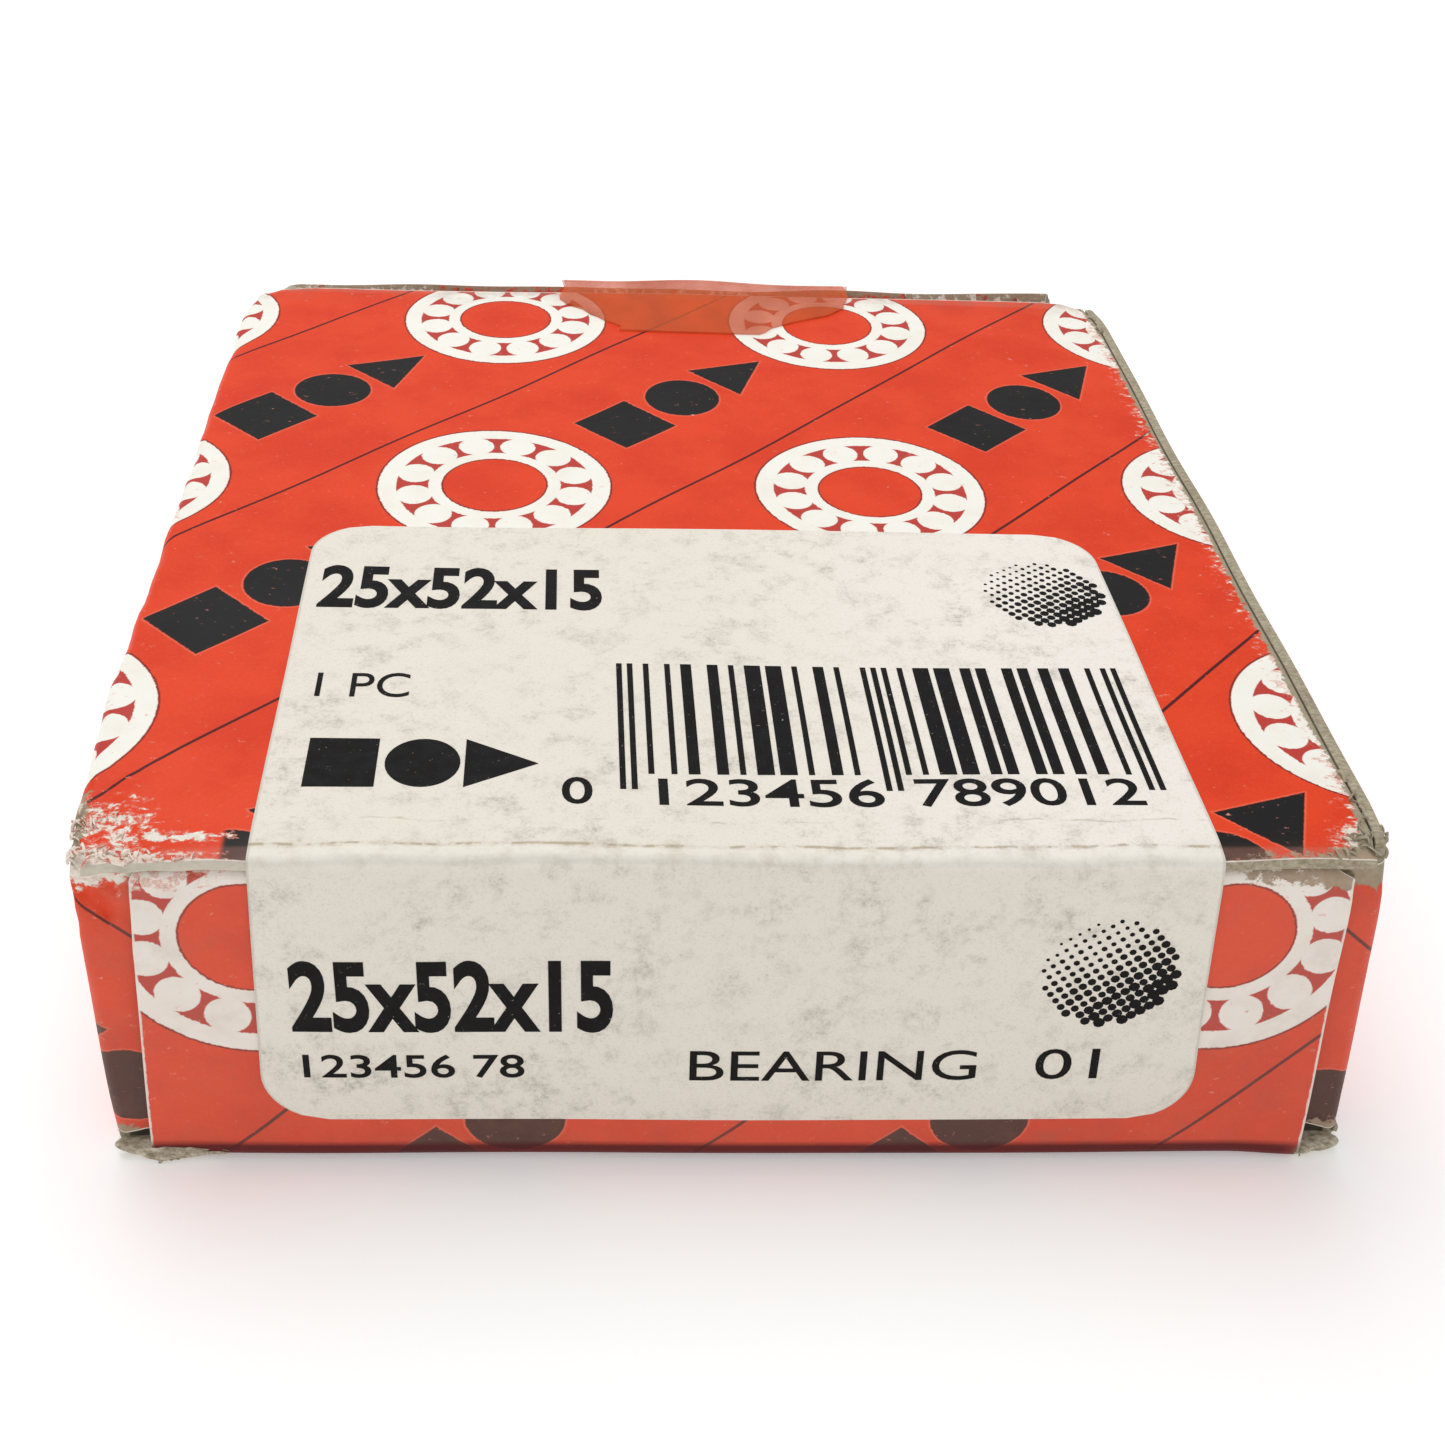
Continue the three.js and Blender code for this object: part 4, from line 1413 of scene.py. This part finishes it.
tapeTopLow, tapeTopHigh = cadBox("tape_top")
tapeBackLow, tapeBackHigh = cadBox("tape_back")


def makeTape():
    r, thickness = 0.4, tapeTopHigh.z - tapeTopLow.z
    low, high = tapeTopLow.x, tapeTopHigh.x
    topZ, backY = tapeTopHigh.z, tapeBackHigh.y
    centre = (backY - r, topZ - r)
    films = (oldTape, oldTape, oldTape)
    steps = easedSteps(36, 0.3)
    length = centre[0] - tapeTopLow.y - 1.6
    wobble = random.Random(8)
    phases = [wobble.uniform(0, 6.28) for _ in range(4)]

    def ragged(distance, which):
        coarse = 0.16 * math.sin(distance * 2.3 + phases[which])
        return coarse + 0.1 * math.sin(distance * 5.1 + phases[which + 1])

    def leftEnd(distance):
        # both near corners are torn off on the slant
        return low + 0.3 + ragged(distance, 0) + 3.6 * smoothStep(distance, 1.0, length)

    def rightEnd(distance):
        return high - 0.3 + ragged(distance, 2) - 6.4 * smoothStep(distance, 1.4, length + 0.6)

    flat = straight((centre[0], topZ), (tapeTopLow.y + 1.6, topZ), (0, 1), leftEnd, rightEnd, r, 0.35, 0.2)
    fold = bend(centre, r, 45, 90, (flat[0][2], flat[0][2]), (flat[0][3], flat[0][3]), 0, 4)
    piece = sweepSheet("tapeTopFilm", chain(fold, flat), sectionYZ, steps, thickness, films, bulge=0.0,
                       shape=tapeShape)
    finishPiece(piece, "carton", "old_tape", "tape_top")
    flat = straight((backY, centre[1]), (backY, tapeBackLow.z), (1, 0), lambda d: low + 0.3 + ragged(d, 1),
                    lambda d: high + ragged(d, 2), r, 0.35, 0.2)
    fold = bend(centre, r, 45, 0, (low + 0.3, flat[0][2]), (flat[0][3], flat[0][3]), 0, 4)
    piece = sweepSheet("tapeBackFilm", chain(fold, flat), sectionYZ, steps, thickness, films, bulge=0.0,
                       shape=tapeShape)
    finishPiece(piece, "back_closure", "old_tape", "tape_back")


makeTape()
print("label and tape stuck on")

# ---- torn corners ----

torn = {
    "earOuter": 27.55,
    "earLength": 7.2,
    "earAway": (28.2, 0.5),
    "earRadius": (0.95, 0.62),
    "fluffPerArea": 8.0,  # strands on a square millimetre
    "fluffLength": 0.6,
    "fluffWidth": 0.13,
}


def makeFluffBoard():
    material, tree, shader = newMaterial("tornFibre")
    place = objectMillimetres(tree)
    strand = noise(tree, place, 3.6, 4, 0.7)
    split = addNode(tree, "ShaderNodeSeparateXYZ", {0: place})
    # whiter where the top's print tore, greyer at the right and at the foot
    toWhite = ramp(tree, plus(tree, split.outputs[0], times(tree, split.outputs[2], -1.2)), -38, -30, 1.0,
                   0.0)
    colour = mixColour(tree, strand, rgb(150, 138, 114), rgb(206, 197, 176))
    whiter = mixColour(tree, ramp(tree, strand, 0.38, 0.5), rgb(232, 138, 118), rgb(250, 240, 228))
    colour = mixColour(tree, toWhite, colour, whiter)
    tree.links.new(colour, shader.inputs["Base Color"])
    tree.links.new(ramp(tree, strand, 0.2, 0.8, 0.95, 0.8), shader.inputs["Roughness"])
    shader.inputs["Specular IOR Level"].default_value = 0.15
    return material


tornFibre = makeFluffBoard()
crumpledBoard = makePlainBoard("crumpledBoard", rgb(236, 228, 208), rgb(146, 131, 104), 2.0)


def fluffTree():
    # short bent strands standing on the faces that they are given
    tree, given = startTree("looseFibres", (
        ("Strands Per Area", "NodeSocketFloat", 12.0), ("Strand Length", "NodeSocketFloat", 0.7),
        ("Strand Width", "NodeSocketFloat", 0.05), ("Seed", "NodeSocketInt", 1)))
    scatter = addNode(tree, "GeometryNodeDistributePointsOnFaces", {
        "Mesh": given["Geometry"], "Density": given["Strands Per Area"], "Seed": given["Seed"]})
    strand = addNode(tree, "GeometryNodeCurveQuadraticBezier", {
        "Resolution": 5, "Start": (-0.5, 0, -0.02), "Middle": (0.05, 0.12, 0.5),
        "End": (0.5, -0.05, 0.04)}).outputs[0]
    ring = addNode(tree, "GeometryNodeCurvePrimitiveCircle",
                   {"Resolution": 4, "Radius": given["Strand Width"]}).outputs[0]
    ring = addNode(tree, "GeometryNodeTransform", {"Geometry": ring, "Scale": (0.4, 1.3, 1.0)}).outputs[0]
    strand = addNode(tree, "GeometryNodeCurveToMesh",
                     {"Curve": strand, "Profile Curve": ring, "Fill Caps": True}).outputs[0]
    turn = addNode(tree, "FunctionNodeRandomValue", {"Min": (-0.5, -0.5, 0), "Max": (0.5, 0.5, 6.28),
                                                     "Seed": given["Seed"]},
                   data_type="FLOAT_VECTOR").outputs[0]
    turn = addNode(tree, "FunctionNodeRotateRotation",
                   {"Rotation": scatter.outputs["Rotation"], "Rotate By": turn},
                   rotation_space="LOCAL").outputs[0]
    long = addNode(tree, "FunctionNodeRandomValue", {"Min": 0.35, "Max": 1.2, "Seed": given["Seed"]},
                   data_type="FLOAT").outputs[1]
    long = times(tree, long, given["Strand Length"])
    strands = addNode(tree, "GeometryNodeInstanceOnPoints",
                      {"Points": scatter.outputs["Points"], "Instance": strand, "Rotation": turn,
                       "Scale": long}).outputs[0]
    endTree(tree, strands, tornFibre)
    return tree


def makeEar(name, sx, sy):
    # the base's torn corner, a crumpled fold of bare board that runs out along the closure's foot
    form = bmesh.new()
    bmesh.ops.create_icosphere(form, subdivisions=5, radius=1.0)
    points = np.array([v.co[:] for v in form.verts])
    inwards = (1 - points[:, 0]) / 2
    taper = 1 - 0.8 * inwards ** 0.8
    seed = 61 + 4 * sx + 2 * sy
    long = points * (2.6, 1, 1)
    lumps = 1 + 0.2 * ripple(long, 1.5, seed) + 0.09 * ripple(long, 0.6, seed + 1)
    x = sx * (torn["earOuter"] - inwards * torn["earLength"])
    y = sy * (torn["earAway"][0] + points[:, 1] * torn["earRadius"][0] * taper * lumps)
    z = torn["earAway"][1] * (1 - 0.4 * inwards) + points[:, 2] * torn["earRadius"][1] * taper * lumps
    z = np.maximum(z, 0.02 + 0.04 * abs(ripple(points, 0.8, seed + 2)))
    for vertex, co in zip(form.verts, ageShape(np.stack([x, y, z], axis=1))):
        vertex.co = Vector(co) * mm
    mesh = bpy.data.meshes.new(name)
    form.to_mesh(mesh)
    form.free()
    mesh.materials.append(crumpledBoard)
    mesh.shade_smooth()
    piece = linkMesh(mesh)
    finishPiece(piece, "carton", "plain_board")
    return piece


def tornFaces(piece, least):
    # the faces of a board that are torn, near its corners, as a mesh in millimetres
    mesh = piece.data
    p = np.zeros(len(mesh.vertices) * 3)
    mesh.vertices.foreach_get("co", p)
    p = p.reshape(-1, 3) / mm
    wear = np.zeros(len(p) * 4)
    mesh.color_attributes["wear"].data.foreach_get("color", wear)
    wear = wear.reshape(-1, 4)
    corner = (abs(p[:, 0]) > 21) & (abs(p[:, 1]) > 22.5)
    chosen = corner & ((wear[:, 0] > least) | (wear[:, 1] > least + 0.15))
    outside = [tuple(f.vertices) for f in mesh.polygons if f.material_index == 0]
    faces = [face for face in outside if all(chosen[v] for v in face)]
    used = sorted({v for f in faces for v in f})
    place = {v: i for i, v in enumerate(used)}
    part = bpy.data.meshes.new("tornFaces")
    part.from_pydata([tuple(p[v]) for v in used], [], [tuple(place[v] for v in f) for f in faces])
    return part


def aboveBench(points):
    return np.stack([points[:, 0], points[:, 1], np.maximum(points[:, 2], 0.01)], axis=1)


def makeTornCorners():
    ears = [makeEar(f"{end}Ear{side}", sx, sy) for end, sy in (("front", -1), ("back", 1))
            for side, sx in (("Left", -1), ("Right", 1))]
    tree = fluffTree()
    values = {"Strands Per Area": torn["fluffPerArea"], "Strand Length": torn["fluffLength"],
              "Strand Width": torn["fluffWidth"], "Seed": 5}
    fluff = bakeTree("looseFibres", tree, values, tornFaces(bpy.data.objects["sleeveBoard"], 0.42))
    movePoints(fluff, aboveBench)
    finishPiece(linkMesh(fluff), "carton", "plain_board")
    for k, ear in enumerate(ears):
        start = ear.data.copy()
        start.transform(Matrix.Scale(1 / mm, 4))
        values["Seed"], values["Strands Per Area"], values["Strand Length"] = 20 + k, 1.2, 0.35
        mesh = bakeTree(f"earFibres{k + 1}", tree, values, start)
        movePoints(mesh, aboveBench)
        finishPiece(linkMesh(mesh), "carton", "plain_board")


makeTornCorners()
print("corners torn")

# ---- the bearing ----

outerLow, outerHigh = cadBox("outer_ring")
bearing = {
    "middle": (outerLow.z + outerHigh.z) / 2,
    "halfHeight": (outerHigh.z - outerLow.z) / 2,
    "outside": outerHigh.x,
    "bore": 12.5,
    "pitch": 19.3,
    "groove": 4.05,
    "ball": 3.97,
    "outerShoulder": 21.0,
    "outerLip": 23.2,
    "outerFlare": 23.9,
    "innerShoulder": 18.05,
    "innerLip": 15.45,
    "corner": 1.0,
    "edgeBreak": 0.3,
    "segments": 144,
}


def roundPoints(centreR, centreZ, radius, fromAngle, toAngle, count):
    return [(centreR + radius * math.cos(math.radians(a)), centreZ + radius * math.sin(math.radians(a)))
            for a in np.linspace(fromAngle, toAngle, count + 1)]


def grooveAngle(radius, way):
    out = radius - bearing["pitch"]
    return math.degrees(math.atan2(way * math.sqrt(bearing["groove"] ** 2 - out ** 2), out))


def turnedPiece(name, profile, material, segments):
    # a closed profile of (radius, height) points, turned about the bearing's axis
    count = len(profile)
    turns = [2 * math.pi * k / segments for k in range(segments)]
    points = [(rr * math.cos(turn), rr * math.sin(turn), zz + bearing["middle"])
              for turn in turns for rr, zz in profile]
    faces = []
    for k in range(segments):
        for i in range(count):
            a, b = k * count + i, k * count + (i + 1) % count
            c, d = ((k + 1) % segments) * count + (i + 1) % count, ((k + 1) % segments) * count + i
            faces.append((a, d, c, b))
    return makeMesh(name, points, faces, [material], smoothAngle=32)


def makeRings():
    h, c, e = bearing["halfHeight"], bearing["corner"], bearing["edgeBreak"]
    out, shoulder, lip = bearing["outside"], bearing["outerShoulder"], bearing["outerLip"]
    profile = [(bearing["outerFlare"], -h)]
    profile += roundPoints(out - c, -h + c, c, -90, 0, 6) + roundPoints(out - c, h - c, c, 0, 90, 6)
    profile += roundPoints(shoulder + e, h - e, e, 90, 180, 3)
    profile += roundPoints(bearing["pitch"], 0, bearing["groove"], grooveAngle(shoulder, 1),
                           grooveAngle(lip, -1), 22)
    outer = turnedPiece("outerRace", profile[::-1], ringSteel, bearing["segments"])
    finishPiece(outer, "carton", "ring_steel", "outer_ring")
    bore, shoulder, lip = bearing["bore"], bearing["innerShoulder"], bearing["innerLip"]
    profile = roundPoints(bore + c, -h + c, c, 180, 270, 6)
    profile += roundPoints(shoulder - e, -h + e, e, -90, 0, 3)
    profile += roundPoints(bearing["pitch"], 0, bearing["groove"], grooveAngle(shoulder, -1) + 360,
                           grooveAngle(lip, 1), 22)
    profile += roundPoints(lip - e, h - e, e, 0, 90, 3) + roundPoints(bore + c, h - c, c, 90, 180, 6)
    inner = turnedPiece("innerRace", profile[::-1], ringSteel, bearing["segments"])
    finishPiece(inner, "inner_race", "ring_steel", "inner_ring")


def ballCount():
    return sum(1 for node in frame["nodes"] if node.startswith("ball_"))


def makeBalls():
    for k in range(ballCount()):
        node = f"ball_{k + 1:02d}"
        low, high = cadBox(node)
        form = bmesh.new()
        bmesh.ops.create_icosphere(form, subdivisions=4, radius=bearing["ball"] * mm,
                                   matrix=Matrix.Translation((low + high) / 2 * mm))
        mesh = bpy.data.meshes.new(f"ball{k + 1:02d}")
        form.to_mesh(mesh)
        form.free()
        mesh.materials.append(ballSteel)
        mesh.shade_smooth()
        piece = bpy.data.objects.new(mesh.name, mesh)
        bpy.context.scene.collection.objects.link(piece)
        finishPiece(piece, f"{node}_body", "ball_steel", node)


cage = {
    "footInner": 0.4,  # clearances to the rings
    "footOuter": 0.9,
    "headInner": 0.85,
    "headOuter": 0.6,
    "insideSlope": (2.5, 3.0),  # where the slope between foot and head begins and ends
    "outsideSlope": (2.7, 2.5),
    "pocketRadius": 4.12,
    "pocketDepth": 12.0,
    "pocketSides": 48,
    "softEdge": 0.12,
    "segments": 180,
}


def makeCage():
    cageLow, cageHigh = cadBox("cage")
    foot, head = cageLow.z - bearing["middle"], cageHigh.z - bearing["middle"]
    inFoot, outFoot = bearing["innerShoulder"] + cage["footInner"], bearing["outerLip"] - cage["footOuter"]
    inHead, outHead = bearing["innerLip"] + cage["headInner"], bearing["outerShoulder"] - cage["headOuter"]
    insideHeights, outsideHeights = cage["insideSlope"], cage["outsideSlope"]
    profile = [(inFoot, foot), (outFoot, foot), (outFoot, foot + outsideHeights[0]),
               (outHead, head - outsideHeights[1]), (outHead, head), (inHead, head),
               (inHead, head - insideHeights[1]), (inFoot, foot + insideHeights[0])]
    band = turnedPiece("cageBand", profile[::-1], cagePlastic, cage["segments"])
    form = bmesh.new()
    for k in range(ballCount()):
        low, high = cadBox(f"ball_{k + 1:02d}")
        middle = (low + high) / 2
        angle = math.atan2(middle.y, middle.x)
        turn = Matrix.Rotation(angle, 4, "Z") @ Matrix.Rotation(math.pi / 2, 4, "Y")
        matrix = Matrix.Translation(middle * mm) @ turn
        pocket = cage["pocketRadius"] * mm
        bmesh.ops.create_cone(form, cap_ends=True, segments=cage["pocketSides"], radius1=pocket,
                              radius2=pocket, depth=cage["pocketDepth"] * mm, matrix=matrix)
    cutterMesh = bpy.data.meshes.new("cutters")
    form.to_mesh(cutterMesh)
    form.free()
    cutter = bpy.data.objects.new("cutters", cutterMesh)
    bpy.context.scene.collection.objects.link(cutter)
    cut = band.modifiers.new("pockets", "BOOLEAN")
    cut.object, cut.operation, cut.solver = cutter, "DIFFERENCE", "EXACT"
    soften = band.modifiers.new("soften", "BEVEL")
    soften.width, soften.segments = cage["softEdge"] * mm, 2
    soften.limit_method, soften.angle_limit = "ANGLE", math.radians(35)
    evaluated = band.evaluated_get(bpy.context.evaluated_depsgraph_get())
    mesh = bpy.data.meshes.new_from_object(evaluated)
    mesh.name = "windowCage"
    mesh.shade_smooth()
    mesh.set_sharp_from_angle(angle=math.radians(32))
    piece = bpy.data.objects.new("windowCage", mesh)
    bpy.context.scene.collection.objects.link(piece)
    bpy.data.objects.remove(cutter)
    bpy.data.objects.remove(band)
    finishPiece(piece, "ball_cage", "cage_plastic", "cage")


makeRings()
makeBalls()
makeCage()
print("bearing turned")
